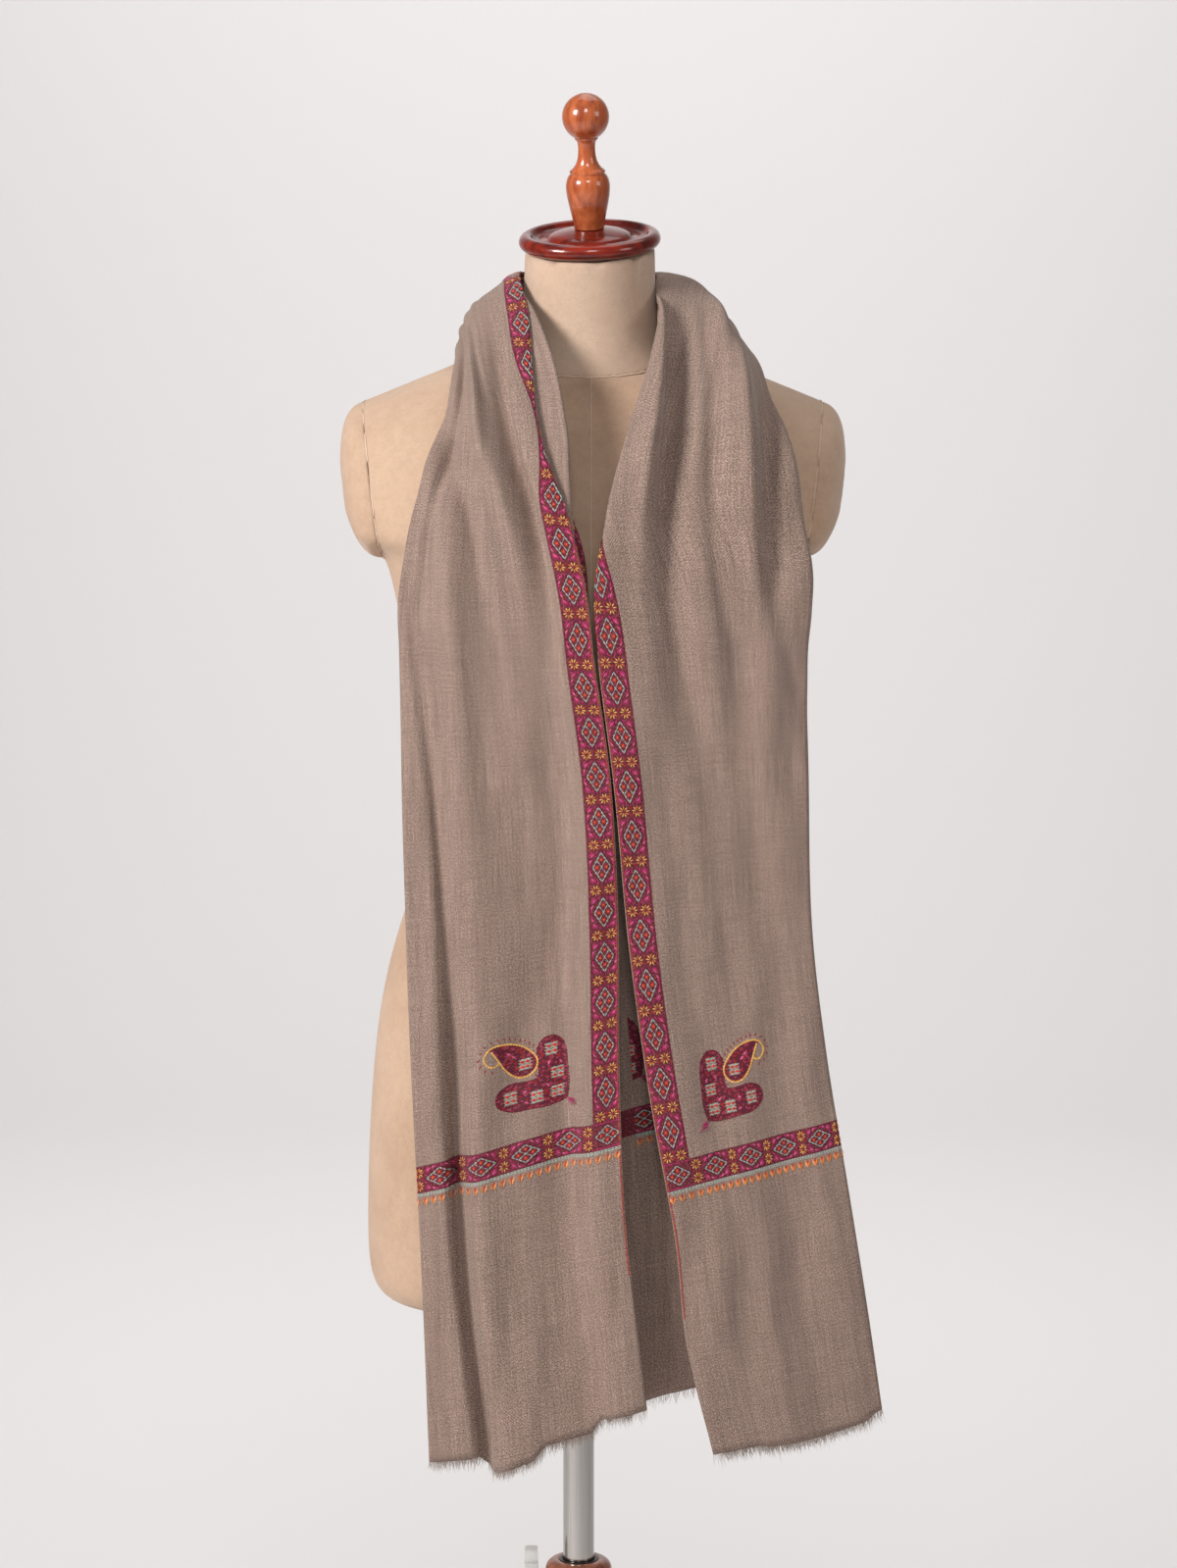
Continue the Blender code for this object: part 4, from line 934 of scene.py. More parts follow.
# The weave: a fine diamond twill with uneven hand-spun yarn both ways. The embroidered bands
# are worked on a madder-dyed ground, which the weave material holds too.
BAND_WIDTH = 0.0205
BAND_HEIGHT = 0.0195
BAND_START = 0.195           # the cross band's lower edge, from either hem
TWILL_REACH = 0.0095
TWILL_PITCH = 0.0018
WOOL, wool_tree, wool_shader = new_material("greige_wool", (0.36, 0.26, 0.21), 0.93)


def math_node(tree, operation, first, second=None, third=None):
    """A Math node on sockets or numbers."""
    made = tree.nodes.new("ShaderNodeMath")
    made.operation = operation
    for socket, value in zip(made.inputs, (first, second, third)):
        if isinstance(value, bpy.types.NodeSocket):
            tree.links.new(value, socket)
        elif value is not None:
            socket.default_value = value
    return made.outputs[0]


def flat_coordinates(tree):
    """The flat cloth's u and v, in metres."""
    source = tree.nodes.new("ShaderNodeUVMap")
    source.uv_map = "flat_cloth"
    split = tree.nodes.new("ShaderNodeSeparateXYZ")
    tree.links.new(source.outputs["UV"], split.inputs["Vector"])
    return source.outputs["UV"], split.outputs["X"], split.outputs["Y"]


def scaled(tree, place, x, y):
    """Flat coordinates scaled for a pattern."""
    mapping = tree.nodes.new("ShaderNodeMapping")
    mapping.inputs["Scale"].default_value = (x, y, 1.0)
    tree.links.new(place, mapping.inputs["Vector"])
    return mapping.outputs["Vector"]


flat, flat_u, flat_v = flat_coordinates(wool_tree)
wander = noise(wool_tree, scaled(wool_tree, flat, 60.0, 60.0), 1.0, 2.0)
zig_u = math_node(wool_tree, "PINGPONG", flat_u, TWILL_REACH)
zig_v = math_node(wool_tree, "PINGPONG", flat_v, TWILL_REACH)
zig = math_node(wool_tree, "ADD", zig_u, zig_v)
zig = math_node(wool_tree, "MULTIPLY_ADD", wander, 0.0012, zig)
twill = math_node(wool_tree, "SINE", math_node(wool_tree, "MULTIPLY", zig, 2 * math.pi / TWILL_PITCH))
twill = math_node(wool_tree, "MULTIPLY_ADD", twill, 0.5, 0.5)
warp_slub = noise(wool_tree, scaled(wool_tree, flat, 800.0, 26.0), 1.0, 3.0, 0.6)
weft_slub = noise(wool_tree, scaled(wool_tree, flat, 40.0, 850.0), 1.0, 3.0, 0.6)
broad_warp = noise(wool_tree, scaled(wool_tree, flat, 130.0, 7.0), 1.0, 3.0)
broad_weft = noise(wool_tree, scaled(wool_tree, flat, 2.5, 90.0), 1.0, 2.0)
speckle = noise(wool_tree, scaled(wool_tree, flat, 950.0, 950.0), 1.0, 2.0, 0.7)
wool_colour = ramp(
    wool_tree, speckle, (0.32, (0.163, 0.105, 0.081)), (0.50, (0.332, 0.232, 0.189)),
    (0.68, (0.540, 0.410, 0.351)),
)
for strand, low, high, dark, light in (
    (twill, 0.1, 0.9, 0.76, 1.14),
    (warp_slub, 0.30, 0.70, 0.80, 1.16),
    (weft_slub, 0.30, 0.70, 0.86, 1.12),
    (broad_warp, 0.30, 0.70, 0.90, 1.06),
    (broad_weft, 0.30, 0.70, 0.97, 1.02),
):
    wool_colour = mix_colours(
        wool_tree, 1.0, wool_colour, shade_range(wool_tree, strand, low, high, dark, light), "MULTIPLY"
    )
from_selvedge = math_node(
    wool_tree, "SUBTRACT", CLOTH_WIDTH / 2,
    math_node(wool_tree, "ABSOLUTE", math_node(wool_tree, "SUBTRACT", flat_u, CLOTH_WIDTH / 2)),
)
from_hem = math_node(
    wool_tree, "SUBTRACT", CLOTH_LENGTH / 2,
    math_node(wool_tree, "ABSOLUTE", math_node(wool_tree, "SUBTRACT", flat_v, CLOTH_LENGTH / 2)),
)
outside = math_node(
    wool_tree, "MULTIPLY",
    math_node(wool_tree, "GREATER_THAN", from_selvedge, 0.0006),
    math_node(wool_tree, "GREATER_THAN", from_hem, BAND_START),
)
inside = math_node(
    wool_tree, "MULTIPLY",
    math_node(wool_tree, "GREATER_THAN", from_selvedge, BAND_WIDTH),
    math_node(wool_tree, "GREATER_THAN", from_hem, BAND_START + BAND_HEIGHT),
)
in_band = math_node(wool_tree, "SUBTRACT", outside, inside)
ground_work = noise(wool_tree, scaled(wool_tree, flat, 700.0, 700.0), 1.0, 3.0)
ground_colour = ramp(
    wool_tree, ground_work, (0.30, (0.075, 0.012, 0.020)), (0.55, (0.190, 0.036, 0.052)),
    (0.75, (0.340, 0.105, 0.115)),
)
wool_colour = mix_colours(wool_tree, in_band, wool_colour, ground_colour)
wool_tree.links.new(wool_colour, wool_shader.inputs["Base Color"])
wool_shader.inputs["Sheen Weight"].default_value = 0.22
wool_shader.inputs["Sheen Roughness"].default_value = 0.45
wool_shader.inputs["Sheen Tint"].default_value = (0.95, 0.88, 0.82, 1.0)
wool_shader.inputs["Specular IOR Level"].default_value = 0.12
weave_bump = bump(wool_tree, wool_shader, twill, 0.25, 0.00025)
weave_bump = bump(wool_tree, wool_shader, warp_slub, 0.35, 0.0004, weave_bump)
bump(wool_tree, wool_shader, weft_slub, 0.30, 0.0004, weave_bump)
through_light = wool_tree.nodes.new("ShaderNodeBsdfTranslucent")
wool_tree.links.new(wool_colour, through_light.inputs["Color"])
wool_mix = wool_tree.nodes.new("ShaderNodeMixShader")
wool_mix.inputs["Fac"].default_value = 0.05
wool_tree.links.new(wool_shader.outputs["BSDF"], wool_mix.inputs[1])
wool_tree.links.new(through_light.outputs["BSDF"], wool_mix.inputs[2])
wool_tree.links.new(wool_mix.outputs[0], wool_tree.nodes["Material Output"].inputs["Surface"])

cloth_mesh.materials.append(WOOL)
shawl = bpy.data.objects.new("shawl", cloth_mesh)
bpy.context.scene.collection.objects.link(shawl)
deselect_all()
shawl.select_set(True)
bpy.context.view_layer.objects.active = shawl
wall = shawl.modifiers.new("wall", "SOLIDIFY")
wall.thickness = CLOTH_WALL
wall.offset = 0.0
bpy.ops.object.modifier_apply(modifier="wall")
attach(shawl, "form")
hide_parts("shawl_left", "shawl_neck", "shawl_right")

# ------------------------------------------------------------------ border embroidery
# Needlework in fine wool thread: a band of lozenges and paired flowers along both selvedges
# and across both ends, closed by a blue-green cord line with a row of buds. Each stitch is a
# small raised piece of thread that lies on the cloth.
REPEAT = 0.0342              # one lozenge and one pair of flowers
LOZENGE_HALF_LENGTH = 0.0113
LOZENGE_HALF_WIDTH = 0.0064
FLOWER_OUT = 0.0048          # the flowers' distance from the band's middle line
FLOWER_REACH = 0.0042
BAND_HALF = BAND_HEIGHT / 2
THREAD = 0.00085             # width of a stitch
THREAD_RISE = 0.00035
TOP_RISE = 0.00028           # accents are worked over the ground stitches
LEAD = 0.0040                # a band's first flower stands this far from the corner block
BUD_PITCH = 0.0070
EDGE_STITCH_PITCH = 0.0016
EDGE_STITCH_START = 0.100    # the selvedges are overcast from this far above the hems
WRONG_SIDE_FROM = 0.60       # the back of the work shows beyond this width


def dye(red, green, blue):
    """A thread colour from its 0 to 255 values."""
    return tuple((value / 255) ** 2.2 for value in (red, green, blue))


TEAL = dye(160, 184, 176)
RED = dye(208, 56, 42)
DEEP_RED = dye(150, 34, 42)
YELLOW = dye(232, 176, 96)
ORANGE = dye(214, 122, 62)
MAGENTA = dye(182, 44, 104)
PINK = dye(216, 96, 140)
MAROON = dye(96, 22, 46)
ROSE = dye(150, 58, 78)
RUST = dye(158, 74, 48)
APRICOT = dye(232, 150, 98)
TOP_THREADS = (RED, YELLOW, ORANGE, APRICOT, PINK, MAGENTA)

# A stitch is (start s, t, end s, t, width, colour) in the chart's own length s and width t.


def stitch_line(start, end, count, width, colour):
    """A row of equal stitches from one point to another."""
    made = []
    for i in range(count):
        near, far = (i - 0.12) / count, (i + 1.2) / count
        made.append((
            start[0] + (end[0] - start[0]) * near, start[1] + (end[1] - start[1]) * near,
            start[0] + (end[0] - start[0]) * far, start[1] + (end[1] - start[1]) * far,
            width, colour,
        ))
    return made


def lozenge(s, t, half_length, half_width, turn=0.0):
    """A four-celled lozenge: dark surround, pale cord sides and cross, a red seed in each cell."""
    made = []

    def at(along, out):
        cosine, sine = math.cos(turn), math.sin(turn)
        return s + along * cosine - out * sine, t + along * sine + out * cosine

    surround = 1.0 + 0.0009 / half_width
    for grow, count, width, colour in ((surround, 3, 0.0009, MAROON), (0.97, 4, 1.35 * THREAD, TEAL)):
        a, b = half_length * grow, half_width * grow
        corners = [at(-a, 0.0), at(0.0, b), at(a, 0.0), at(0.0, -b)]
        for start, end in zip(corners, corners[1:] + corners[:1]):
            made += stitch_line(start, end, count, width, colour)
    a, b = half_length / 2, half_width / 2
    made += stitch_line(at(-a, -b), at(a, b), 3, THREAD, TEAL)
    made += stitch_line(at(-a, b), at(a, -b), 3, THREAD, TEAL)
    for cell in ((-a, 0.0), (a, 0.0), (0.0, -b), (0.0, b)):
        for shift, colour in ((-0.13, RED), (0.13, RED), (0.0, ORANGE)):
            reach = 0.36 if colour == RED else 0.16
            out = cell[1] + shift * b * 1.6
            made.append((
                *at(cell[0] - a * reach, out), *at(cell[0] + a * reach, out), 0.34 * b, colour
            ))
    return made


PETALS = 9
PETAL_START = 0.24           # a share of the flower's reach
PETAL_WIDTH = 0.0011


def flower(s, t):
    """Thin petals round a dark eye."""
    made = [(s - 0.0011, t, s + 0.0011, t, 0.0016, DEEP_RED)]
    for i in range(PETALS):
        angle = 2 * math.pi * (i + 0.5) / PETALS
        cosine, sine = math.cos(angle), math.sin(angle)
        near, far = PETAL_START * FLOWER_REACH, FLOWER_REACH
        made.append((
            s + near * cosine, t + near * sine, s + far * cosine, t + far * sine,
            PETAL_WIDTH, ORANGE if i % 3 == 1 else YELLOW,
        ))
    return made


def leaf_pairs(s, side):
    """The magenta leaves and rose filling on one side of the middle line, round a flower."""
    made = []
    for ahead in (-1, 1):
        for start, end, width, colour in (
            ((0.0046, 0.0054), (0.0090, 0.0088), 0.0013, MAGENTA),
            ((0.0050, 0.0040), (0.0098, 0.0060), 0.0012, MAGENTA),
            ((0.0062, 0.0052), (0.0100, 0.0078), 0.0012, PINK),
            ((0.0106, 0.0066), (0.0136, 0.0088), 0.0014, PINK),
            ((0.0128, 0.0076), (0.0164, 0.0087), 0.0014, MAGENTA),
            ((0.0044, 0.0020), (0.0074, 0.0032), 0.0012, MAGENTA),
            ((0.0008, 0.0002), (0.0038, 0.0005), 0.0012, DEEP_RED),
            ((0.0016, 0.0091), (0.0050, 0.0090), 0.0011, ROSE),
        ):
            made.append((
                s + ahead * start[0], side * start[1], s + ahead * end[0], side * end[1], width, colour
            ))
    return made


def band(length, repeats):
    """A whole band chart, starting and ending on a pair of flowers."""
    made = []
    pitch = (length - 2 * LEAD) / repeats
    for i in range(repeats + 1):
        start = LEAD + i * pitch
        for side in (-1, 1):
            made += flower(start, side * FLOWER_OUT)
            made += leaf_pairs(start, side)
        if i < repeats:
            made += lozenge(start + pitch / 2, 0.0, LOZENGE_HALF_LENGTH, LOZENGE_HALF_WIDTH)
    for side in (-1, 1):
        edge = side * (BAND_HALF - 0.0005)
        made += stitch_line((0.0, edge), (length, edge), repeats * 8, 0.0008, MAROON)
    return [row for row in made if -0.001 < (row[0] + row[2]) / 2 < length + 0.001]


CORNER_HALF_LENGTH = 0.0090
CORNER_HALF_WIDTH = 0.0070
CORNER_LINE_OUT = 0.0088


def corner_block():
    """The square where two bands meet: a lozenge between two magenta lines."""
    made = lozenge(0.0, 0.0, CORNER_HALF_LENGTH, CORNER_HALF_WIDTH)
    for side in (-1, 1):
        start, end = (end * CORNER_HALF_LENGTH for end in (-1, 1))
        line_out = side * CORNER_LINE_OUT
        made += stitch_line((start, line_out), (end, line_out), 6, 0.0010, MAGENTA)
    return made


side_length = CLOTH_LENGTH - 2 * (BAND_START + BAND_HEIGHT)
cross_length = CLOTH_WIDTH - 2 * BAND_WIDTH
side_chart = band(side_length, round(side_length / REPEAT))
cross_chart = band(cross_length, round(cross_length / REPEAT))
corner_chart = corner_block()
band_stitches = []


def lay(chart, place):
    """Lays a chart on the flat cloth: place turns a chart point into (u, v)."""
    return [(*place(row[0], row[1]), *place(row[2], row[3]), row[4], row[5]) for row in chart]


first_v = BAND_START + BAND_HEIGHT
for mirrored_u in (False, True):
    def across_place(u, mirrored=mirrored_u):
        return CLOTH_WIDTH - u if mirrored else u

    band_stitches += lay(side_chart, lambda s, t: (across_place(BAND_WIDTH / 2 + t), first_v + s))
    for mirrored_v in (False, True):
        def along_place(v, mirrored=mirrored_v):
            return CLOTH_LENGTH - v if mirrored else v

        band_stitches += lay(corner_chart, lambda s, t: (
            across_place(BAND_WIDTH / 2 + s), along_place(BAND_START + BAND_HALF + t)
        ))
        if not mirrored_u:
            band_stitches += lay(cross_chart, lambda s, t: (
                BAND_WIDTH + s, along_place(BAND_START + BAND_HALF + t)
            ))

CORD_PITCH = 0.0026
cord_stitches = []
bud_count = round(CLOTH_WIDTH / BUD_PITCH)
cord_count = round(CLOTH_WIDTH / CORD_PITCH)
for mirrored_v in (False, True):
    def from_end(v, mirrored=mirrored_v):
        return CLOTH_LENGTH - v if mirrored else v

    for i in range(cord_count):
        u = CLOTH_WIDTH * (i + 0.5) / cord_count
        for row, slant in ((0.0007, 0.0004), (0.0019, -0.0004)):
            cord_stitches.append((
                u - 0.0014, from_end(BAND_START - row - slant), u + 0.0014,
                from_end(BAND_START - row + slant), 0.0012, TEAL,
            ))
    for i in range(bud_count):
        u = CLOTH_WIDTH * (i + 0.5) / bud_count
        for start, end, width, colour in (
            ((-0.0030, 0.0034), (0.0002, 0.0104), 0.0012, RUST),
            ((0.0030, 0.0034), (-0.0002, 0.0104), 0.0012, RUST),
            ((-0.0024, 0.0036), (-0.0002, 0.0092), 0.0019, APRICOT),
            ((0.0024, 0.0036), (0.0002, 0.0092), 0.0019, ORANGE),
            ((0.0, 0.0030), (0.0, 0.0066), 0.0011, RED),
        ):
            cord_stitches.append((
                u + start[0], from_end(BAND_START - start[1]),
                u + end[0], from_end(BAND_START - end[1]), width, colour,
            ))

EDGE_STITCH_LENGTH = 0.0028
EDGE_STITCH_LEAN = 0.0007
EDGE_STITCH_WIDTH = 0.0020
edge_stitches = []
edge_count = round((CLOTH_LENGTH - 2 * EDGE_STITCH_START) / EDGE_STITCH_PITCH)
for i in range(edge_count):
    v = EDGE_STITCH_START + (i + 0.5) * EDGE_STITCH_PITCH
    for edge, inward in ((0.0, 1), (CLOTH_WIDTH, -1)):
        edge_stitches.append((
            edge, v, edge + inward * EDGE_STITCH_LENGTH, v + EDGE_STITCH_LEAN,
            EDGE_STITCH_WIDTH, RUST if i % 3 else ROSE,
        ))


NEAR_BY = 0.0004             # how far the cloth's lie is read to each side of a stitch
THREAD_SINK = 0.00005        # how far a stitch's foot lies in the cloth's face
THREAD_SEED = 7


def stitch_piece(name, stitches, surface, wrong_side=False):
    """Every stitch as a small closed pyramid of thread on the cloth, in one joined mesh."""
    flat = np.array([row[:5] for row in stitches])
    dyes = np.array([row[5] for row in stitches])
    start_u, start_v, end_u, end_v, width = flat.T
    mid_u, mid_v = (start_u + end_u) / 2, (start_v + end_v) / 2
    near = cloth_points(start_u, start_v)
    far = cloth_points(end_u, end_v)
    middle = cloth_points(mid_u, mid_v)
    aside = cloth_points(mid_u + NEAR_BY, mid_v) - cloth_points(mid_u - NEAR_BY, mid_v)
    along = cloth_points(mid_u, mid_v + NEAR_BY) - cloth_points(mid_u, mid_v - NEAR_BY)
    facing = unit(np.cross(along, aside))
    if wrong_side:
        facing = -facing
    sideways = unit(np.cross(facing, far - near)) * width[:, None] / 2
    over = np.array([TOP_RISE if row[5] in TOP_THREADS else 0.0 for row in stitches])
    lift = facing * (CLOTH_WALL / 2 - THREAD_SINK + over)[:, None]
    top = middle + lift + facing * THREAD_RISE
    points = np.stack(
        [near + lift, middle + lift + sideways, far + lift, middle + lift - sideways, top], axis=1
    )
    base = np.arange(len(stitches))[:, None] * 5
    sides = [(0, 4, 1), (1, 4, 2), (2, 4, 3), (3, 4, 0), (0, 1, 2), (0, 2, 3)]
    faces = np.concatenate([base + np.array([side]) for side in sides])
    mesh = bpy.data.meshes.new(name)
    mesh.from_pydata(points.reshape(-1, 3).tolist(), [], faces.tolist())
    shades = np.random.default_rng(THREAD_SEED).uniform(0.82, 1.15, len(stitches))
    colours = np.ones((len(stitches), 5, 4))
    colours[:, :, :3] = (dyes * shades[:, None])[:, None, :]
    threads = mesh.color_attributes.new("thread_dye", "FLOAT_COLOR", "POINT")
    threads.data.foreach_set("color", colours.ravel())
    mesh.materials.append(surface)
    piece = bpy.data.objects.new(name, mesh)
    bpy.context.scene.collection.objects.link(piece)
    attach(piece, "form")
    return piece


EMBROIDERY_WOOL, thread_tree, thread_shader = new_material("embroidery_wool", RED, 0.62)
thread_dyes = thread_tree.nodes.new("ShaderNodeVertexColor")
thread_dyes.layer_name = "thread_dye"
twist = noise(thread_tree, object_mapping(thread_tree), 2600.0, 2.0)
thread_colour = mix_colours(
    thread_tree, 1.0, thread_dyes.outputs["Color"], shade_range(thread_tree, twist, 0.3, 0.7, 0.8, 1.12),
    "MULTIPLY",
)
thread_tree.links.new(thread_colour, thread_shader.inputs["Base Color"])
thread_shader.inputs["Sheen Weight"].default_value = 0.25
thread_shader.inputs["Sheen Roughness"].default_value = 0.4
thread_shader.inputs["Specular IOR Level"].default_value = 0.3
bump(thread_tree, thread_shader, twist, 0.3, 0.0002)

needlework = [
    stitch_piece("border_bands", band_stitches, EMBROIDERY_WOOL),
    stitch_piece("cord_and_buds", cord_stitches, EMBROIDERY_WOOL),
    stitch_piece("overcast_edges", edge_stitches, EMBROIDERY_WOOL),
    stitch_piece("overcast_edges_back", edge_stitches, EMBROIDERY_WOOL, wrong_side=True),
]
back_stitches = [row for row in band_stitches + cord_stitches if min(row[0], row[2]) > WRONG_SIDE_FROM]
needlework.append(stitch_piece("border_back", back_stitches, EMBROIDERY_WOOL, wrong_side=True))

# ------------------------------------------------------------------ corner motifs
# In each corner a two-lobed leaf with five small lozenges, its stem towards the corner, and a
# curled teardrop in its notch with a comb of short ticks, worked in the same thread.
MOTIF_OUT = 0.042            # the leaf's tip, from the selvedge and above the cross band
MOTIF_UP = 0.022
MOTIF_SPREAD = 1.14          # the motif is worked this much wider than tall
LEAF_HALF = [(0, 0), (-2, 12), (-1, 25), (0, 37), (4, 45), (10, 48.5), (17, 46), (20, 38), (19, 28)]
LEAF_NOTCH = (20, 20)
TEARDROP = [
    (26, 23), (21, 27), (20, 34), (25, 41), (33, 47), (43, 50), (51, 49), (55, 43),
    (52, 37), (47, 36), (45, 39),
]
TEARDROP_INNER = [(50, 47), (46, 40), (42, 32), (37, 26), (32, 23), (26, 23)]
TICK = 4.4                   # this and what follows in millimetres, as the motif is
FILLING_ROW = 1.15
FILLING_PITCH = 1.9
SEED_CLEAR = 4.4
LEAF_SEED_HALF = 4.3
DROP_SEED_HALF = 3.9
MILLIMETRE = 0.001


def smooth_line(points, steps=6):
    """A smooth open line through given points."""
    values = np.array(points, float)
    spots = np.linspace(0.0, len(values) - 1.0, steps * (len(values) - 1) + 1)
    return read_rows(values, spots)


def follow(line, length, width, colour):
    """Stitches of about one length along a line."""
    steps = np.linalg.norm(np.diff(line, axis=0), axis=1)
    runs = np.concatenate([[0.0], np.cumsum(steps)])
    count = max(1, round(runs[-1] / length))
    marks = np.linspace(0.0, runs[-1], count + 1)
    spots = np.column_stack([np.interp(marks, runs, line[:, i]) for i in (0, 1)])
    made = []
    for start, end in zip(spots, spots[1:]):
        overlap = (end - start) * 0.3
        made.append((*(start - overlap), *(end + overlap), width, colour))
    return made


def inside_line(line, x, y):
    """Whether a point lies inside a closed line."""
    found = False
    for (x1, y1), (x2, y2) in zip(line, np.roll(line, -1, axis=0)):
        if (y1 > y) != (y2 > y) and x < x1 + (x2 - x1) * (y - y1) / (y2 - y1):
            found = not found
    return found


def filling(line, clear):
    """Rows of short filling stitches inside a line, clear of the lozenges."""
    made = []
    low, high = line.min(axis=0), line.max(axis=0)
    for row, y in enumerate(np.arange(low[1], high[1], FILLING_ROW)):
        for x in np.arange(low[0] + 0.9 * (row % 2), high[0], FILLING_PITCH):
            open_ground = all(max(abs(x - cx), abs(y - cy)) > SEED_CLEAR for cx, cy in clear)
            if open_ground and inside_line(line, x, y):
                lean = random.uniform(-0.5, 0.5)
                colour = random.choice((MAROON, MAROON, DEEP_RED, MAROON, MAROON, ROSE))
                made.append((x - 1.6, y - lean, x + 1.6, y + lean, 2.2, colour))
    return made


leaf_side = LEAF_HALF + [LEAF_NOTCH] + [(y, x) for x, y in reversed(LEAF_HALF)]
leaf_line = smooth_line(leaf_side)
drop_line = smooth_line(TEARDROP)
drop_inner = smooth_line(TEARDROP_INNER)
drop_body = np.vstack([smooth_line(TEARDROP[:7]), drop_inner])
leaf_seeds = [(7, 7), (6.5, 21), (21, 6.5), (10, 39), (39, 10)]
drop_seed = (28.5, 32)
motif = filling(leaf_line, leaf_seeds) + filling(drop_body, [drop_seed])
motif += follow(leaf_line, 1.9, 1.7, MAROON) + follow(drop_body, 1.9, 1.7, MAROON)
motif += follow(leaf_line + (np.array([14.0, 14.0]) - leaf_line) * 0.07, 2.6, 0.6, ROSE)
motif += follow(drop_line, 2.0, 1.8, YELLOW) + follow(drop_inner, 2.0, 1.8, YELLOW)
for (x, y), half in [(seed, LEAF_SEED_HALF) for seed in leaf_seeds] + [(drop_seed, DROP_SEED_HALF)]:
    for row in (-0.75, -0.25, 0.25, 0.75):
        motif += [(x - half, y + row * half, x + 0.4, y + row * half, 2.3, TEAL)]
        motif += [(x - 0.4, y + row * half, x + half, y + row * half, 2.3, TEAL)]
    for dot_x in (-0.46, 0.46):
        for dot_y in (-0.46, 0.46):
            left = x + dot_x * half - 1.6
            motif += [(left, y + dot_y * half, left + 3.2, y + dot_y * half, 2.9, RED)]
for x, y, lean_x, lean_y in (
    (4, 28, 2.0, 3.6), (12, 29, -1.6, 3.4), (28, 4, 3.6, 2.0), (29, 12, 3.4, -1.6),
    (13, 13, 3.0, 3.0), (36, 39, 3.4, 2.6), (39, 42, 3.4, 2.0),
):
    motif += [(x - lean_x / 2, y - lean_y / 2, x + lean_x / 2, y + lean_y / 2, 1.9, PINK)]
for reach, width, colour in ((9.5, 1.6, PINK), (8.0, 1.2, MAROON), (6.5, 1.2, MAGENTA)):
    spread = (9.5 - reach) * 0.9
    motif += [(0, 0, -reach + spread, -reach * 0.7 - spread, width, colour)]
    motif += [(0, 0, -reach - spread * 0.2, -reach * 0.7 + spread, width, colour)]
ticks = follow(drop_line, 3.3, 1.0, DEEP_RED)
for x1, y1, x2, y2, _, colour in ticks[1:]:
    ahead_x, ahead_y = x2 - x1, y2 - y1
    length = math.hypot(ahead_x, ahead_y)
    out_x, out_y = -ahead_y / length, ahead_x / length
    start = (x1 + out_x * 1.4, y1 + out_y * 1.4)
    lean = 0.35 * TICK
    end = (
        start[0] + out_x * TICK + lean * ahead_x / length,
        start[1] + out_y * TICK + lean * ahead_y / length,
    )
    motif += [(*start, *end, 1.25, colour)]

motif_stitches = []
for mirrored_u in (False, True):
    for mirrored_v in (False, True):
        for x1, y1, x2, y2, width, colour in motif:
            ends = []
            for x, y in ((x1, y1), (x2, y2)):
                u = MOTIF_OUT + x * MOTIF_SPREAD * MILLIMETRE
                v = first_v + MOTIF_UP + y * MILLIMETRE
                ends += [CLOTH_WIDTH - u if mirrored_u else u, CLOTH_LENGTH - v if mirrored_v else v]
            motif_stitches.append((*ends, width * MILLIMETRE, colour))
needlework.append(stitch_piece("corner_motifs", motif_stitches, EMBROIDERY_WOOL))
back_motifs = [row for row in motif_stitches if min(row[0], row[2]) > WRONG_SIDE_FROM]
needlework.append(stitch_piece("corner_motifs_back", back_motifs, EMBROIDERY_WOOL, wrong_side=True))

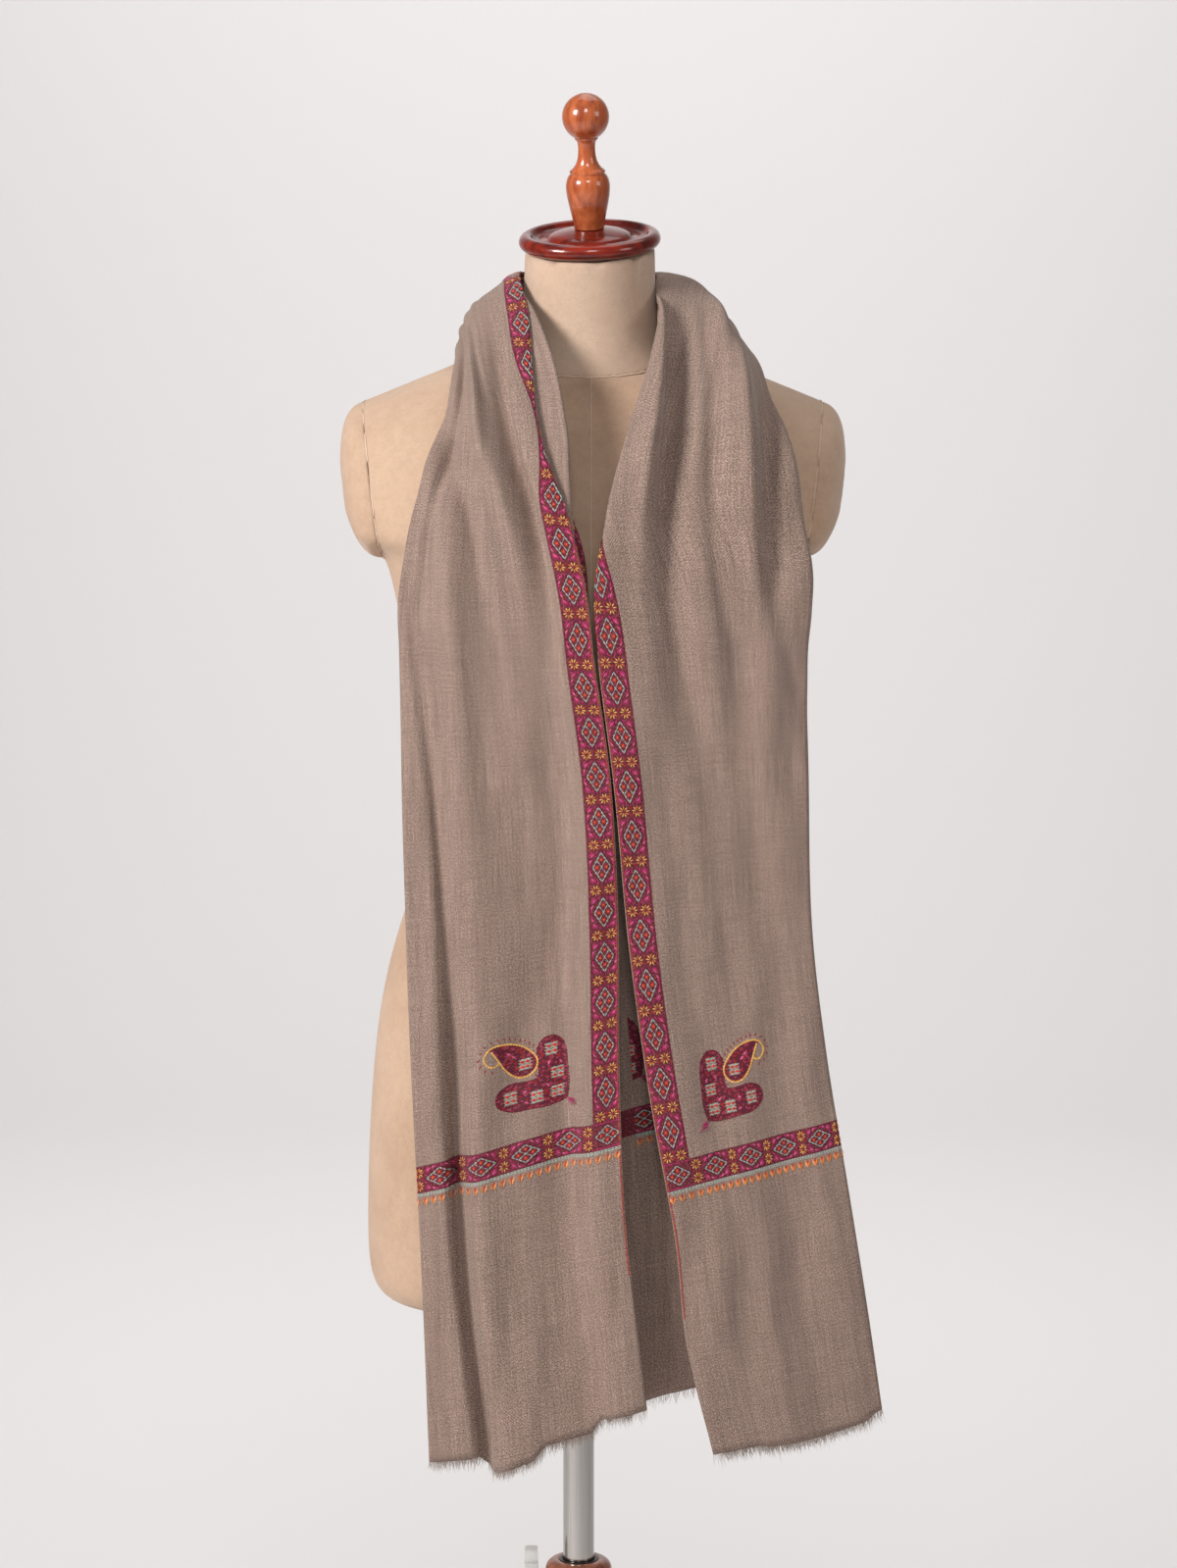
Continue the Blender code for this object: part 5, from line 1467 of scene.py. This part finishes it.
# ------------------------------------------------------------------ frayed hems
# Both ends are left unhemmed: the last weft threads are drawn out, and the warp stands free
# as a short soft fringe of single yarns.
STRANDS = 1250
STRAND_THICKNESS = 0.00034
STRAND_RINGS = (0.0, 0.4, 0.75, 1.0)
STRAND_TAPER = (1.0, 0.9, 0.65, 0.12)
STRAND_SHORTEST = 0.0048
STRAND_LONGEST = 0.0100
STRAND_ROOT = 0.0012         # how far a strand starts inside the hem
# The loose yarn is coloured lighter than the same wool woven in the cloth: this is painted light, which
# brightens the line of shade along the hem.
FRINGE_WOOL, fringe_tree, fringe_shader = new_material("fringe_wool", (0.40, 0.30, 0.245), 0.9)
fringe_shade = noise(fringe_tree, object_mapping(fringe_tree), 900.0, 2.0)
fringe_tree.links.new(
    ramp(fringe_tree, fringe_shade, (0.3, (0.30, 0.215, 0.170)), (0.7, (0.50, 0.385, 0.320))),
    fringe_shader.inputs["Base Color"],
)
fringe_shader.inputs["Sheen Weight"].default_value = 0.4
for side, hem, away in (("left", 0.0, -1), ("right", CLOTH_LENGTH, 1)):
    rng = np.random.default_rng(11 if side == "left" else 12)
    u = (np.arange(STRANDS) + rng.uniform(0.2, 0.8, STRANDS)) * CLOTH_WIDTH / STRANDS
    reach = rng.uniform(STRAND_SHORTEST, STRAND_LONGEST, STRANDS)
    drift = rng.normal(0.0, 0.0010, STRANDS) + 0.0006 * np.sin(u * 260.0)
    stray = rng.normal(0.0, 0.0005, (STRANDS, 3))
    rings = []
    for share, taper in zip(STRAND_RINGS, STRAND_TAPER):
        centre = cloth_points(u + drift * share, hem + away * (reach * share - STRAND_ROOT))
        centre = centre + stray * share * share * 3
        for corner in range(3):
            angle = 2 * math.pi * corner / 3
            size = STRAND_THICKNESS / 2 * taper
            ring = np.array([math.cos(angle) * size, math.sin(angle) * size, 0.0])
            rings.append(centre + ring)
    points = np.stack(rings, axis=1)
    base = np.arange(STRANDS)[:, None] * len(rings)
    faces = []
    for ring in range(len(STRAND_RINGS) - 1):
        for corner in range(3):
            a, b = ring * 3 + corner, ring * 3 + (corner + 1) % 3
            quad = (a, b, b + 3, a + 3) if away > 0 else (a + 3, b + 3, b, a)
            faces.append(base + np.array([quad]))
    mesh = bpy.data.meshes.new(f"frayed_hem_{side}")
    last = len(rings) - 3
    caps = [(2, 1, 0), (last, last + 1, last + 2)] if away > 0 else [(0, 1, 2), (last + 2, last + 1, last)]
    cap_faces = [(base + np.array([cap])).tolist() for cap in caps]
    all_faces = np.concatenate(faces).tolist() + cap_faces[0] + cap_faces[1]
    mesh.from_pydata(points.reshape(-1, 3).tolist(), [], all_faces)
    mesh.materials.append(FRINGE_WOOL)
    mesh.polygons.foreach_set("use_smooth", [True] * len(mesh.polygons))
    fringe = bpy.data.objects.new(f"frayed_hem_{side}", mesh)
    bpy.context.scene.collection.objects.link(fringe)
    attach(fringe, "form")
    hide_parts(f"fringe_{side}")
